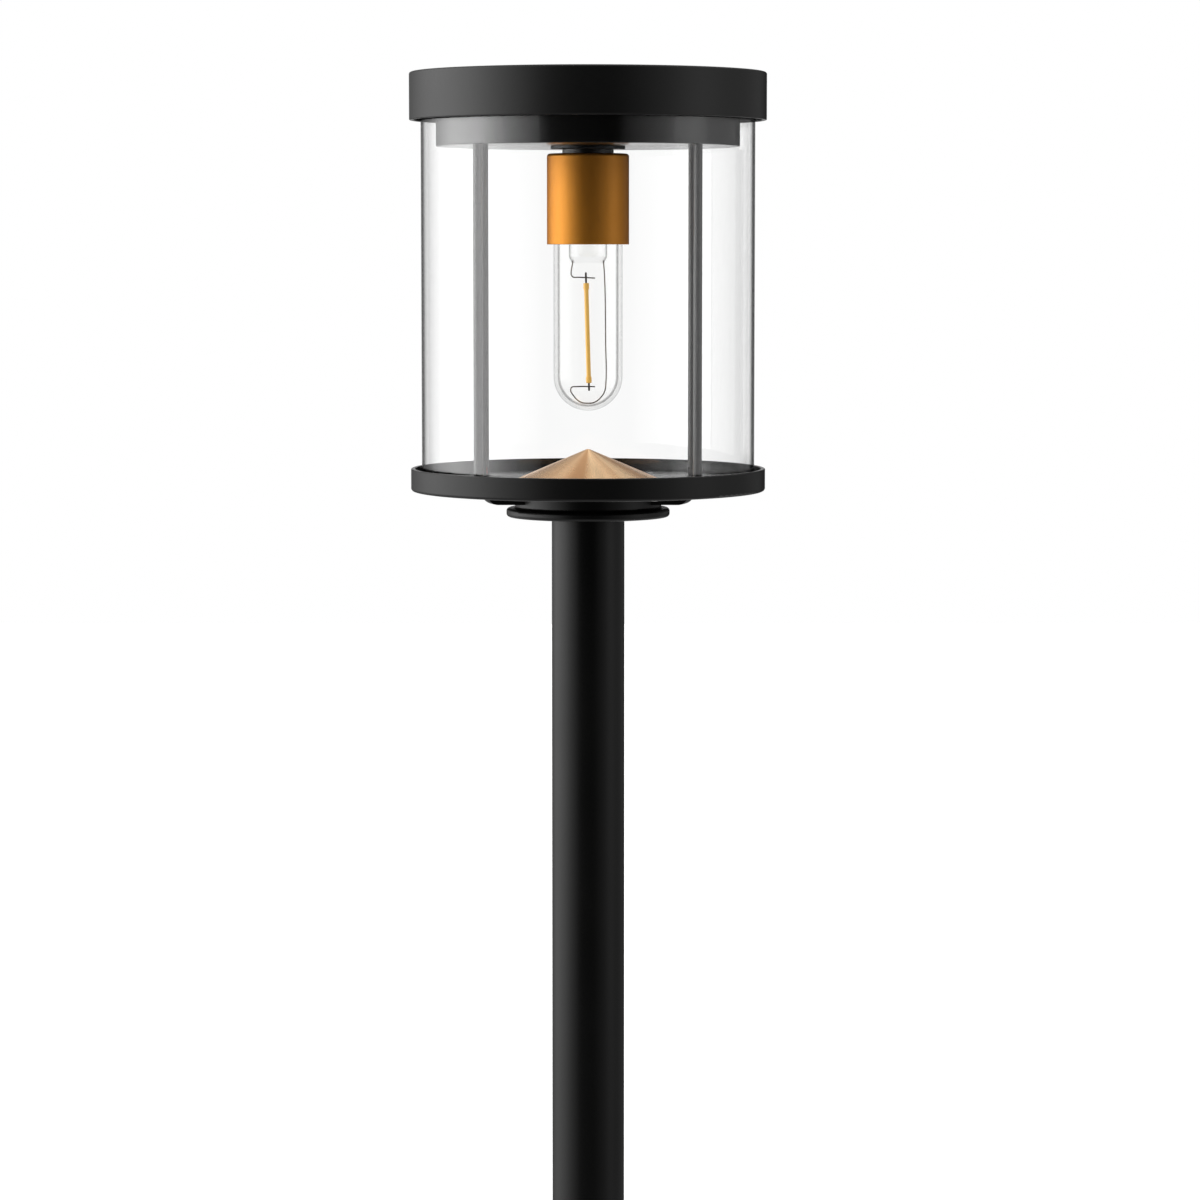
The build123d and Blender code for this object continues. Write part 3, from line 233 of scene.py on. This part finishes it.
def turned_finish():
    """Lathe marks round the Z axis, under a slow tarnish."""
    group, given, result = new_finish("turned_finish")
    socket(group, "Color", "NodeSocketColor", "INPUT", (0.6, 0.6, 0.6, 1.0))
    socket(group, "Tarnish Color", "NodeSocketColor", "INPUT", (0.3, 0.25, 0.2, 1.0))
    socket(group, "Tarnish", "NodeSocketFloat", "INPUT", 0.3)
    socket(group, "Roughness", "NodeSocketFloat", "INPUT", 0.3)
    socket(group, "Ring Scale", "NodeSocketFloat", "INPUT", 2500.0)
    socket(group, "Color", "NodeSocketColor", "OUTPUT")
    socket(group, "Roughness", "NodeSocketFloat", "OUTPUT")
    socket(group, "Height", "NodeSocketFloat", "OUTPUT")
    point = place(group)
    apart = group.nodes.new("ShaderNodeSeparateXYZ")
    group.links.new(point, apart.inputs[0])
    across = math_node(group, "MULTIPLY", apart.outputs["X"], apart.outputs["X"])
    deep = math_node(group, "MULTIPLY", apart.outputs["Y"], apart.outputs["Y"])
    radius = math_node(group, "SQRT", math_node(group, "ADD", across, deep))
    along = math_node(group, "ADD", radius, apart.outputs["Z"])
    rings = group.nodes.new("ShaderNodeTexNoise")
    rings.noise_dimensions = "1D"
    rings.inputs["Detail"].default_value = 3.0
    group.links.new(along, rings.inputs["W"])
    group.links.new(given.outputs["Ring Scale"], rings.inputs["Scale"])
    patches = noise_node(group, point, 55.0, 5.0, 0.6)
    film = spread(group, patches, 0.35, 0.75, 0.0, given.outputs["Tarnish"])
    tarnished = tint(group, film, given.outputs["Color"], given.outputs["Tarnish Color"])
    group.links.new(tarnished, result.inputs["Color"])
    ridged = spread(group, rings.outputs["Fac"], 0.3, 0.7, -0.04, 0.05)
    rough = math_node(group, "ADD", given.outputs["Roughness"], ridged)
    rough = math_node(group, "ADD", rough, math_node(group, "MULTIPLY", film, 0.2), clamp=True)
    group.links.new(rough, result.inputs["Roughness"])
    group.links.new(rings.outputs["Fac"], result.inputs["Height"])
    return group


turned = turned_finish()

METAL_RELIEF = 0.0001


def turned_material(name, color, tarnish_color, tarnish, roughness, rings, bump):
    """A Principled metal that takes its colour, roughness and bump from the turned finish."""
    material = bpy.data.materials.new(name)
    material.use_nodes = True
    tree = material.node_tree
    shader = tree.nodes["Principled BSDF"]
    shader.inputs["Metallic"].default_value = 1.0
    finish = tree.nodes.new("ShaderNodeGroup")
    finish.node_tree = turned
    finish.inputs["Color"].default_value = (*color, 1.0)
    finish.inputs["Tarnish Color"].default_value = (*tarnish_color, 1.0)
    finish.inputs["Tarnish"].default_value = tarnish
    finish.inputs["Roughness"].default_value = roughness
    finish.inputs["Ring Scale"].default_value = rings
    tree.links.new(finish.outputs["Color"], shader.inputs["Base Color"])
    tree.links.new(finish.outputs["Roughness"], shader.inputs["Roughness"])
    relief = tree.nodes.new("ShaderNodeBump")
    relief.inputs["Strength"].default_value = bump
    relief.inputs["Distance"].default_value = METAL_RELIEF
    tree.links.new(finish.outputs["Height"], relief.inputs["Height"])
    tree.links.new(relief.outputs["Normal"], shader.inputs["Normal"])
    return material


stainless = turned_material("stainless", (0.55, 0.54, 0.52), (0.3, 0.28, 0.25), 0.4, 0.28, 3000.0, 0.1)
dress(
    stainless,
    "spike_set_screws",
    "fitter_set_screws",
    "fitter_screws",
    "deck_bushes",
    "deck_screws",
    "cone_screws",
    "cap_standoffs",
    "cap_screws",
    "splice_screws",
    "nipple_locknut",
)

# ---- Rubber parts ------------------------------------------------------------
# Cable grommet in the back of the pole, and the flat rings under and over the glass.
# Black EPDM, moulded matt, with a light bloom.

rubber = grained_material("epdm_rubber", (0.018, 0.018, 0.018), 0.62, 500.0, 0.3, dust=0.2)
dress(rubber, "cable_grommet", "bottom_gasket", "top_gasket")

# ---- Splice block and leads --------------------------------------------------
# Two-way nylon terminal block, with one red and one black silicone lead that go up to the lampholder.
# The block clips on to the spike's spigot inside the pole.

nylon = grained_material("block_nylon", (0.62, 0.61, 0.56), 0.45, 900.0, 0.15, dust=0.1)
dress(nylon, "splice_block")
red_silicone = grained_material("red_silicone", (0.36, 0.015, 0.012), 0.5, 1200.0, 0.1, dust=0.1)
dress(red_silicone, "lead_positive")
black_silicone = grained_material("black_silicone", (0.015, 0.015, 0.015), 0.5, 1200.0, 0.1, dust=0.1)
dress(black_silicone, "lead_negative")

# ---- Fitter, bar, tray and deck ------------------------------------------------
# Turned and spun aluminium, powder coated in the same satin black as the pole. The bar lies in a slot
# across the fitter, the tray is clamped over both, and the deck covers the leads in the tray.

spun_coat = grained_material("spun_coat", BLACK, 0.34, 1500.0, 0.10, dust=0.02, specular=0.24)
dress(spun_coat, "pole_fitter", "mounting_bar", "tray")
deck_coat = grained_material("deck_coat", BLACK, 0.22, 1200.0, 0.12, dust=0.02, specular=0.3)
dress(deck_coat, "deck_plate")

# ---- Struts ---------------------------------------------------------------------
# Four round steel bars, brazed into the tray's floor and under the lamp housing, coated with the tray.
# Their black is a lighter, glossier copy of the tray's: painted light.
# The rear two are tubes that carry the leads.

STRUT_PAINTED_LIGHTER_BLACK = (0.006, 0.006, 0.0055)
strut_coat_painted_lighter = grained_material("strut_coat_painted_lighter", STRUT_PAINTED_LIGHTER_BLACK, 0.34, 1500.0, 0.10, dust=0.0, specular=0.62)
dress(strut_coat_painted_lighter, "strut_front_left", "strut_front_right", "strut_rear_left", "strut_rear_right")

# ---- Lamp housing and cap ----------------------------------------------------------
# Drum and lid spun from steel sheet, coated glossier inside the glass than outside it.
# The cover washer and the collar are turned, and coated with the drum.

drum_coat = grained_material("drum_coat", BLACK, 0.20, 1200.0, 0.08, dust=0.0, specular=0.36)
dress(drum_coat, "lamp_housing", "cover_washer", "stem_collar")
cap_coat = grained_material("cap_coat", BLACK, 0.36, 1500.0, 0.10, dust=0.04, specular=0.33)
dress(cap_coat, "cap")

# ---- Reflector cone ---------------------------------------------------------------
# Spun sheet, copper plated, polished outwards from its tip and lacquered satin. Its bright radial streaks
# are painted highlights.
# Three screws from below hold its turned-in base.

STREAKS_A_TURN = 7.0


def polish_and_painted_streaks():
    """Streaks that fan out from the Z axis: a painted highlight colour and a smoother polish, against dull
    and rough.
    """
    group, given, result = new_finish("polish_and_painted_streaks")
    socket(group, "Color", "NodeSocketColor", "INPUT", (0.8, 0.5, 0.3, 1.0))
    socket(group, "Painted Streak Color", "NodeSocketColor", "INPUT", (0.9, 0.7, 0.5, 1.0))
    socket(group, "Roughness", "NodeSocketFloat", "INPUT", 0.3)
    socket(group, "Color", "NodeSocketColor", "OUTPUT")
    socket(group, "Roughness", "NodeSocketFloat", "OUTPUT")
    socket(group, "Height", "NodeSocketFloat", "OUTPUT")
    point = place(group)
    apart = group.nodes.new("ShaderNodeSeparateXYZ")
    group.links.new(point, apart.inputs[0])
    forward = math_node(group, "MULTIPLY", apart.outputs["Y"], -1.0)
    turn = math_node(group, "ARCTAN2", apart.outputs["X"], forward)
    fan = group.nodes.new("ShaderNodeTexNoise")
    fan.noise_dimensions = "1D"
    fan.inputs["Detail"].default_value = 0.6
    fan.inputs["Roughness"].default_value = 0.5
    fan.inputs["Scale"].default_value = STREAKS_A_TURN / math.pi
    group.links.new(turn, fan.inputs["W"])
    # The streak colour is painted highlight; the lower roughness along the streaks is the real polish.
    streak_and_painted_highlight = spread(group, fan.outputs["Fac"], 0.32, 0.66, 0.0, 1.0)
    painted_streak_highlights = tint(group, streak_and_painted_highlight, given.outputs["Color"], given.outputs["Painted Streak Color"])
    group.links.new(painted_streak_highlights, result.inputs["Color"])
    cloud = spread(group, noise_node(group, point, 90.0, 3.0), 0.3, 0.7, -0.03, 0.04)
    rough = math_node(group, "ADD", given.outputs["Roughness"], cloud)
    rough = math_node(group, "ADD", rough, math_node(group, "MULTIPLY", streak_and_painted_highlight, -0.06), clamp=True)
    group.links.new(rough, result.inputs["Roughness"])
    group.links.new(noise_node(group, point, 2600.0, 2.0), result.inputs["Height"])
    return group


cone_plate = bpy.data.materials.new("cone_plate")
cone_plate.use_nodes = True
cone_tree = cone_plate.node_tree
cone_shader = cone_tree.nodes["Principled BSDF"]
cone_shader.inputs["Metallic"].default_value = 1.0
cone_shader.inputs["Anisotropic"].default_value = 0.5
cone_polish_and_painted_streaks = cone_tree.nodes.new("ShaderNodeGroup")
cone_polish_and_painted_streaks.node_tree = polish_and_painted_streaks()
cone_polish_and_painted_streaks.inputs["Color"].default_value = (0.66, 0.35, 0.15, 1.0)
cone_polish_and_painted_streaks.inputs["Painted Streak Color"].default_value = (0.94, 0.63, 0.35, 1.0)
cone_polish_and_painted_streaks.inputs["Roughness"].default_value = 0.30
cone_tree.links.new(cone_polish_and_painted_streaks.outputs["Color"], cone_shader.inputs["Base Color"])
cone_tree.links.new(cone_polish_and_painted_streaks.outputs["Roughness"], cone_shader.inputs["Roughness"])
cone_relief = cone_tree.nodes.new("ShaderNodeBump")
cone_relief.inputs["Strength"].default_value = 0.12
cone_relief.inputs["Distance"].default_value = METAL_RELIEF
cone_tree.links.new(cone_polish_and_painted_streaks.outputs["Height"], cone_relief.inputs["Height"])
cone_tree.links.new(cone_relief.outputs["Normal"], cone_shader.inputs["Normal"])
dress(cone_plate, "reflector_cone")

# ---- Socket cup and lampholder ------------------------------------------------------
# Spun copper-bronze cup, bead blasted and lacquered, round a phenolic lampholder with a brass screw shell.
# The cup hangs on the hollow nipple, under the collar and the cover washer.

cup_plate = grained_material("cup_plate", (0.54, 0.212, 0.020), 0.44, 2600.0, 0.30, dust=0.0, specular=0.3)
cup_shader = cup_plate.node_tree.nodes["Principled BSDF"]
cup_shader.inputs["Metallic"].default_value = 0.80
cup_shader.inputs["Specular Tint"].default_value = (0.75, 0.45, 0.20, 1.0)
cup_shader.inputs["Coat Weight"].default_value = 0.25
cup_shader.inputs["Coat Roughness"].default_value = 0.30
dress(cup_plate, "socket_cup")
phenolic = grained_material("phenolic", (0.03, 0.025, 0.02), 0.35, 900.0, 0.12, dust=0.05)
dress(phenolic, "lampholder_body")
brass = turned_material("contact_brass", (0.72, 0.52, 0.22), (0.4, 0.28, 0.14), 0.4, 0.25, 2500.0, 0.1)
dress(brass, "lampholder_shell", "centre_contact", "holder_terminals", "nipple")

# ---- Lamp ----------------------------------------------------------------------------
# Clear tube lamp: blown glass on a pressed stem, a nickelled screw cap, and one amber filament held by
# two drawn wires. The wires are crimped in the stem, and the long one loops under the filament.

FRESNEL_POWER = 5.0
INNER_MIRROR = 0.35


def glass_finish():
    """Faint smears in the polish, and whether the surface's normal points away from the Z axis."""
    group, given, result = new_finish("glass_finish")
    socket(group, "Roughness", "NodeSocketFloat", "INPUT", 0.0)
    socket(group, "Smear", "NodeSocketFloat", "INPUT", 0.03)
    socket(group, "Roughness", "NodeSocketFloat", "OUTPUT")
    socket(group, "Outward", "NodeSocketFloat", "OUTPUT")
    point = place(group)
    film = spread(group, noise_node(group, point, 35.0, 5.0, 0.6), 0.4, 0.8, 0.0, given.outputs["Smear"])
    smeared = math_node(group, "ADD", given.outputs["Roughness"], film)
    group.links.new(smeared, result.inputs["Roughness"])
    flat = group.nodes.new("ShaderNodeVectorMath")
    flat.operation = "MULTIPLY"
    flat.inputs[1].default_value = (1.0, 1.0, 0.0)
    group.links.new(point, flat.inputs[0])
    geometry = group.nodes.new("ShaderNodeNewGeometry")
    outward = group.nodes.new("ShaderNodeVectorMath")
    outward.operation = "DOT_PRODUCT"
    group.links.new(geometry.outputs["Normal"], outward.inputs[0])
    group.links.new(flat.outputs[0], outward.inputs[1])
    group.links.new(outward.outputs["Value"], result.inputs["Outward"])
    return group


clear = glass_finish()


def clear_material(name, body, painted_shade_tones, mirror_base, mirror_slope, mirror_gain, gloss_roughness):
    """Clear glass: light goes straight through and it mirrors more towards its edges.

    The tones paint shade on its outer skin, by how far the surface is turned away, in place of the dark
    bands that refraction gives. The inner skin stays clear and mirrors less. The mirror numbers are the
    share face on, its rise, and its gain at the edge.
    """
    material = bpy.data.materials.new(name)
    material.use_nodes = True
    tree = material.node_tree
    tree.nodes.remove(tree.nodes["Principled BSDF"])
    output = tree.nodes["Material Output"]
    finish = tree.nodes.new("ShaderNodeGroup")
    finish.node_tree = clear
    finish.inputs["Roughness"].default_value = gloss_roughness
    geometry = tree.nodes.new("ShaderNodeNewGeometry")
    side = spread(tree, geometry.outputs["Backfacing"], 0.0, 1.0, 1.0, -1.0)
    told_apart = math_node(tree, "MULTIPLY", finish.outputs["Outward"], side)
    outer = math_node(tree, "GREATER_THAN", told_apart, 0.0)
    view = tree.nodes.new("ShaderNodeLayerWeight")
    view.inputs["Blend"].default_value = 0.5
    turned_away = view.outputs["Facing"]
    steep = math_node(tree, "POWER", turned_away, FRESNEL_POWER)
    share = math_node(tree, "ADD", math_node(tree, "MULTIPLY", steep, mirror_gain), mirror_base)
    rise = math_node(tree, "MULTIPLY", turned_away, mirror_slope)
    share = math_node(tree, "ADD", rise, share, clamp=True)
    share = math_node(tree, "MULTIPLY", share, spread(tree, outer, 0.0, 1.0, INNER_MIRROR, 1.0))
    shade = tree.nodes.new("ShaderNodeValToRGB")
    stops = shade.color_ramp.elements
    while len(stops) > 1:
        stops.remove(stops[-1])
    for number, (where, level) in enumerate(painted_shade_tones):
        stop = stops[0] if number == 0 else stops.new(where)
        stop.position = where
        stop.color = (level, level, level, 1.0)
    tree.links.new(turned_away, shade.inputs[0])
    through = tree.nodes.new("ShaderNodeBsdfTransparent")
    tree.links.new(tint(tree, outer, body, shade.outputs["Color"]), through.inputs["Color"])
    mirror = tree.nodes.new("ShaderNodeBsdfAnisotropic")
    mirror.inputs["Color"].default_value = (1.0, 1.0, 1.0, 1.0)
    tree.links.new(finish.outputs["Roughness"], mirror.inputs["Roughness"])
    blend = tree.nodes.new("ShaderNodeMixShader")
    tree.links.new(share, blend.inputs[0])
    tree.links.new(through.outputs[0], blend.inputs[1])
    tree.links.new(mirror.outputs[0], blend.inputs[2])
    tree.links.new(blend.outputs[0], output.inputs["Surface"])
    return material


# Each tone: how far the skin is turned away, and the share of the light that it lets through. The dips are
# painted shade, dark bands where refraction would darken the glass.
LAMP_PAINTED_SHADE = (
    (0.0, 0.999), (0.40, 0.99), (0.46, 0.66), (0.50, 0.66), (0.56, 0.97), (0.80, 0.99), (0.95, 0.80),
)
STEM_PAINTED_SHADE = ((0.0, 0.995), (0.45, 0.97), (0.75, 0.80), (1.0, 0.40))
lamp_glass = clear_material("lamp_glass", (0.998, 0.998, 0.995), LAMP_PAINTED_SHADE, 0.010, 0.03, 0.45, 0.01)
dress(lamp_glass, "bulb_glass")
stem_glass = clear_material("stem_glass", (0.995, 0.995, 0.99), STEM_PAINTED_SHADE, 0.03, 0.0, 0.8, 0.02)
dress(stem_glass, "bulb_stem")
nickel = turned_material("lamp_nickel", (0.66, 0.63, 0.58), (0.4, 0.36, 0.3), 0.3, 0.22, 2500.0, 0.1)
dress(nickel, "bulb_contact")
vitrite = grained_material("vitrite", (0.02, 0.02, 0.025), 0.2, 500.0, 0.1, dust=0.0)
dress(vitrite, "bulb_insulator")
board = grained_material("driver_board", (0.03, 0.16, 0.06), 0.45, 900.0, 0.2, dust=0.0)
dress(board, "bulb_driver")
# The filament's glow is painted light, added to brighten its amber phosphor.
phosphor = grained_material("amber_phosphor_painted_glow", (0.88, 0.52, 0.12), 0.5, 1800.0, 0.3, dust=0.0, glow=0.28)
dress(phosphor, "led_filament")
wire_metal = turned_material("lamp_wire", (0.16, 0.13, 0.11), (0.10, 0.07, 0.05), 0.5, 0.35, 4000.0, 0.1)
dress(wire_metal, "filament_tabs")

WIRE_R = 0.0003
WIRE_REACH = 0.0078
ARM_END = 0.0033
TOP_ARM_RISE = 0.0027
FOOT_ARM_DROP = 0.0017
filament_low, filament_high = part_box("led_filament")
stem_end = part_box("bulb_stem")[0][2]
top_arm = filament_high[2] + TOP_ARM_RISE
foot_arm = filament_low[2] - FOOT_ARM_DROP
# The short wire leaves the stem on the left, turns in and crosses over the filament.
SHORT_WIRE = (
    (-WIRE_REACH + 0.0007, stem_end + 0.0012),
    (-WIRE_REACH + 0.0005, stem_end - 0.0005),
    (-WIRE_REACH, stem_end - 0.0030),
    (-WIRE_REACH, top_arm + 0.0010),
    (-WIRE_REACH + 0.0008, top_arm + 0.0001),
    (-WIRE_REACH + 0.0030, top_arm),
    (ARM_END, top_arm - 0.0004),
)
# The long wire runs down the right, loops under the filament and comes back to its foot.
LONG_WIRE = (
    (WIRE_REACH - 0.0006, stem_end + 0.0012),
    (WIRE_REACH - 0.0004, stem_end - 0.0010),
    (WIRE_REACH, stem_end - 0.0070),
    (WIRE_REACH + 0.0005, foot_arm + 0.0200),
    (WIRE_REACH + 0.0006, foot_arm + 0.0015),
    (WIRE_REACH + 0.0001, foot_arm - 0.0020),
    (WIRE_REACH - 0.0014, foot_arm - 0.0046),
    (WIRE_REACH - 0.0046, foot_arm - 0.0073),
    (0.0, foot_arm - 0.0078),
    (-WIRE_REACH + 0.0042, foot_arm - 0.0072),
    (-WIRE_REACH + 0.0009, foot_arm - 0.0042),
    (-WIRE_REACH - 0.0004, foot_arm - 0.0016),
    (-WIRE_REACH + 0.0001, foot_arm - 0.0003),
    (-WIRE_REACH + 0.0022, foot_arm),
    (ARM_END, foot_arm),
)


def drawn_wire(name, points):
    """A round wire through points in the plane y = 0, each (x, z)."""
    line = bpy.data.curves.new(name, "CURVE")
    line.dimensions = "3D"
    line.bevel_depth = WIRE_R
    line.bevel_resolution = 3
    line.resolution_u = 8
    line.use_fill_caps = True
    spline = line.splines.new("BEZIER")
    spline.bezier_points.add(len(points) - 1)
    for knot, (x, z) in zip(spline.bezier_points, points):
        knot.co = (x, 0.0, z)
        knot.handle_left_type = "AUTO"
        knot.handle_right_type = "AUTO"
    line.materials.append(wire_metal)
    wire = bpy.data.objects.new(name, line)
    bpy.context.scene.collection.objects.link(wire)
    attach(wire, "bulb")
    return wire


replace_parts(drawn_wire("short_support_wire", SHORT_WIRE), "bulb_wires")
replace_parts(drawn_wire("long_support_wire", LONG_WIRE), "bulb_wires")

# ---- Lamp cap -----------------------------------------------------------------------------
# Screw cap rolled from nickelled brass sheet, with a real helical thread, cemented over the glass neck.
# Its shoulder closes on the black glass insulator.

CAP_PITCH = 0.00363
CAP_WAVE = 0.0004
CAP_SHEET = 0.0003
SHOULDER_H = 0.002
SHOULDER_SHARES = (0.35, 0.7, 1.0)
ROUND_STEPS = 96
HEIGHT_STEPS = 64
FOOT_FADE = 1.5
FOOT_PLAIN = 0.4
HEAD_FADE = 3.0
shell_low, shell_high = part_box("bulb_shell")
shell_crest = shell_high[0]
shell_mean = shell_crest - CAP_WAVE
shoulder_z = shell_high[2] - SHOULDER_H
lip_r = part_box("bulb_insulator")[1][0]


def shell_radius(height, angle):
    """The cap's outer radius: a wave that climbs one pitch each turn and fades at both ends."""
    low = (height - shell_low[2]) / CAP_PITCH
    high = (shoulder_z - height) / CAP_PITCH
    fade = max(0.0, min(1.0, low * FOOT_FADE - FOOT_PLAIN, high * HEAD_FADE))
    return shell_mean + CAP_WAVE * fade * math.cos(2 * math.pi * height / CAP_PITCH - angle)


def helical_shell():
    """The rolled cap as one sheet of rings from its foot to the insulator."""
    climb = (shoulder_z - shell_low[2]) / HEIGHT_STEPS
    heights = [shell_low[2] + step * climb for step in range(HEIGHT_STEPS + 1)]
    verts = []
    for height in heights:
        for step in range(ROUND_STEPS):
            angle = 2 * math.pi * step / ROUND_STEPS
            r = shell_radius(height, angle)
            verts.append((r * math.cos(angle), r * math.sin(angle), height))
    for share in SHOULDER_SHARES:
        r = shell_mean + (lip_r - shell_mean) * share
        height = shoulder_z + (shell_high[2] - shoulder_z) * math.sin(share * math.pi / 2)
        for step in range(ROUND_STEPS):
            angle = 2 * math.pi * step / ROUND_STEPS
            verts.append((r * math.cos(angle), r * math.sin(angle), height))
    faces = []
    for ring in range(len(verts) // ROUND_STEPS - 1):
        for step in range(ROUND_STEPS):
            here = ring * ROUND_STEPS + step
            beside = ring * ROUND_STEPS + (step + 1) % ROUND_STEPS
            faces.append((here, beside, beside + ROUND_STEPS, here + ROUND_STEPS))
    mesh = bpy.data.meshes.new("lamp_cap")
    mesh.from_pydata(verts, [], faces)
    mesh.polygons.foreach_set("use_smooth", [True] * len(faces))
    mesh.materials.append(nickel)
    return mesh


lamp_cap = bpy.data.objects.new("lamp_cap", helical_shell())
bpy.context.scene.collection.objects.link(lamp_cap)
rolled = lamp_cap.modifiers.new("sheet", "SOLIDIFY")
rolled.thickness = CAP_SHEET
rolled.offset = -1.0
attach(lamp_cap, "bulb")
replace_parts(lamp_cap, "bulb_shell")

# ---- Lantern glass ------------------------------------------------------------------------
# Clear borosilicate tube with fire-polished ends, seated on the lower gasket and held down by the cap.

# The dip in these tones paints the dark band near the tube's edges as shade, in place of refraction.
GLASS_PAINTED_SHADE = (
    (0.0, 0.999), (0.72, 0.99), (0.78, 0.85), (0.83, 0.42), (0.88, 0.40), (0.94, 0.65), (1.0, 0.9),
)
GLASS_BODY = (0.997, 0.998, 0.997)
cylinder_glass = clear_material("cylinder_glass", GLASS_BODY, GLASS_PAINTED_SHADE, 0.015, 0.13, 0.45, 0.0)
dress(cylinder_glass, "lantern_glass")

# ---- Stage, light and camera -----------------------------------------------------------------
# A pale floor under the spike's tip, a plain studio with a soft box each side, and a long lens.

FLOOR_HALF = 14.0
FLOOR_GAP = 0.0005
floor_mesh = bpy.data.meshes.new("stage_floor")
floor_z = cad_box[0][2] - FLOOR_GAP
corners = ((-1, -1), (1, -1), (1, 1), (-1, 1))
floor_points = [(x * FLOOR_HALF, y * FLOOR_HALF, floor_z) for x, y in corners]
floor_mesh.from_pydata(floor_points, [], [(0, 1, 2, 3)])
floor = bpy.data.objects.new("stage_floor", floor_mesh)
bpy.context.scene.collection.objects.link(floor)
floor_paint = bpy.data.materials.new("stage_floor")
floor_paint.use_nodes = True
floor_shader = floor_paint.node_tree.nodes["Principled BSDF"]
floor_shader.inputs["Base Color"].default_value = (0.86, 0.86, 0.86, 1.0)
floor_shader.inputs["Roughness"].default_value = 0.8
floor_shader.inputs["Specular IOR Level"].default_value = 0.1
floor_shader.inputs["Emission Color"].default_value = (1.0, 1.0, 1.0, 1.0)
floor_shader.inputs["Emission Strength"].default_value = 0.35
floor_mesh.materials.append(floor_paint)
floor.visible_glossy = False
floor.visible_diffuse = False

STUDIO_GAIN = 4.2
OVERHEAD_LEVEL = 1.1
BELOW_LEVEL = 0.9
LOW_SHARE = 0.42
# Each stop of the side light: degrees round from the front towards +X, and the level there.
STUDIO = (
    (-180, 1.0), (-172, 1.0), (-170, 0.15), (-160, 0.15), (-158, 0.3), (-150, 0.35), (-140, 0.7),
    (-128, 1.75), (-104, 3.7), (-80, 4.2), (-55, 2.0), (-42, 1.27), (-34, 0.8), (-32, 0.08), (22, 0.02),
    (26, 0.16), (38, 0.36), (60, 0.65), (64, 1.1), (84, 1.1), (92, 0.63), (120, 0.31), (148, 0.25),
    (152, 0.02), (171, 0.02), (173, 1.0), (180, 1.0),
)
world = bpy.data.worlds.new("studio")
bpy.context.scene.world = world
world.use_nodes = True
sky = world.node_tree
sky.nodes.clear()
way = sky.nodes.new("ShaderNodeSeparateXYZ")
sky.links.new(sky.nodes.new("ShaderNodeTexCoord").outputs["Generated"], way.inputs[0])
forward = math_node(sky, "MULTIPLY", way.outputs["Y"], -1.0)
turn = math_node(sky, "ARCTAN2", way.outputs["X"], forward)
turn = math_node(sky, "ADD", math_node(sky, "DIVIDE", turn, 2 * math.pi), 0.5)
panels = sky.nodes.new("ShaderNodeValToRGB")
sky.links.new(turn, panels.inputs[0])
steps = panels.color_ramp.elements
while len(steps) > 1:
    steps.remove(steps[-1])
for number, (angle, strength) in enumerate(STUDIO):
    step = steps[0] if number == 0 else steps.new((angle + 180) / 360)
    step.position = (angle + 180) / 360
    step.color = (*[strength / STUDIO_GAIN] * 3, 1.0)
side_light = math_node(sky, "MULTIPLY", panels.outputs["Color"], STUDIO_GAIN)
lower = spread(sky, way.outputs["Z"], -0.24, -0.11, LOW_SHARE, 1.0)
side_light = math_node(sky, "MULTIPLY", side_light, lower)
overhead = spread(sky, way.outputs["Z"], 0.35, 0.8, 0.0, 1.0)
below = spread(sky, way.outputs["Z"], -0.7, -0.2, 1.0, 0.0)
level = spread(sky, overhead, 0.0, 1.0, side_light, OVERHEAD_LEVEL)
level = spread(sky, below, 0.0, 1.0, level, BELOW_LEVEL)
rays = sky.nodes.new("ShaderNodeLightPath")
shown = spread(sky, rays.outputs["Is Camera Ray"], 0.0, 1.0, level, 1.0)
glow = sky.nodes.new("ShaderNodeBackground")
glow.inputs["Color"].default_value = (1.0, 1.0, 1.0, 1.0)
sky.links.new(shown, glow.inputs["Strength"])
sky.links.new(glow.outputs[0], sky.nodes.new("ShaderNodeOutputWorld").inputs[0])

EYE = (0.00564, -1.794, 1.3536)
LOOK_DOWN = 5.364
SENSOR_MM = 36.0
LENS_MM = 113.95
GLASS_LAYERS = 32
camera_data = bpy.data.cameras.new("camera")
camera_data.sensor_width = SENSOR_MM
camera_data.lens = LENS_MM
camera = bpy.data.objects.new("camera", camera_data)
camera.location = EYE
camera.rotation_euler = (math.radians(90 - LOOK_DOWN), 0.0, 0.0)
bpy.context.scene.collection.objects.link(camera)
bpy.context.scene.camera = camera
bpy.context.scene.view_settings.view_transform = "Standard"
bpy.context.scene.cycles.transparent_max_bounces = GLASS_LAYERS
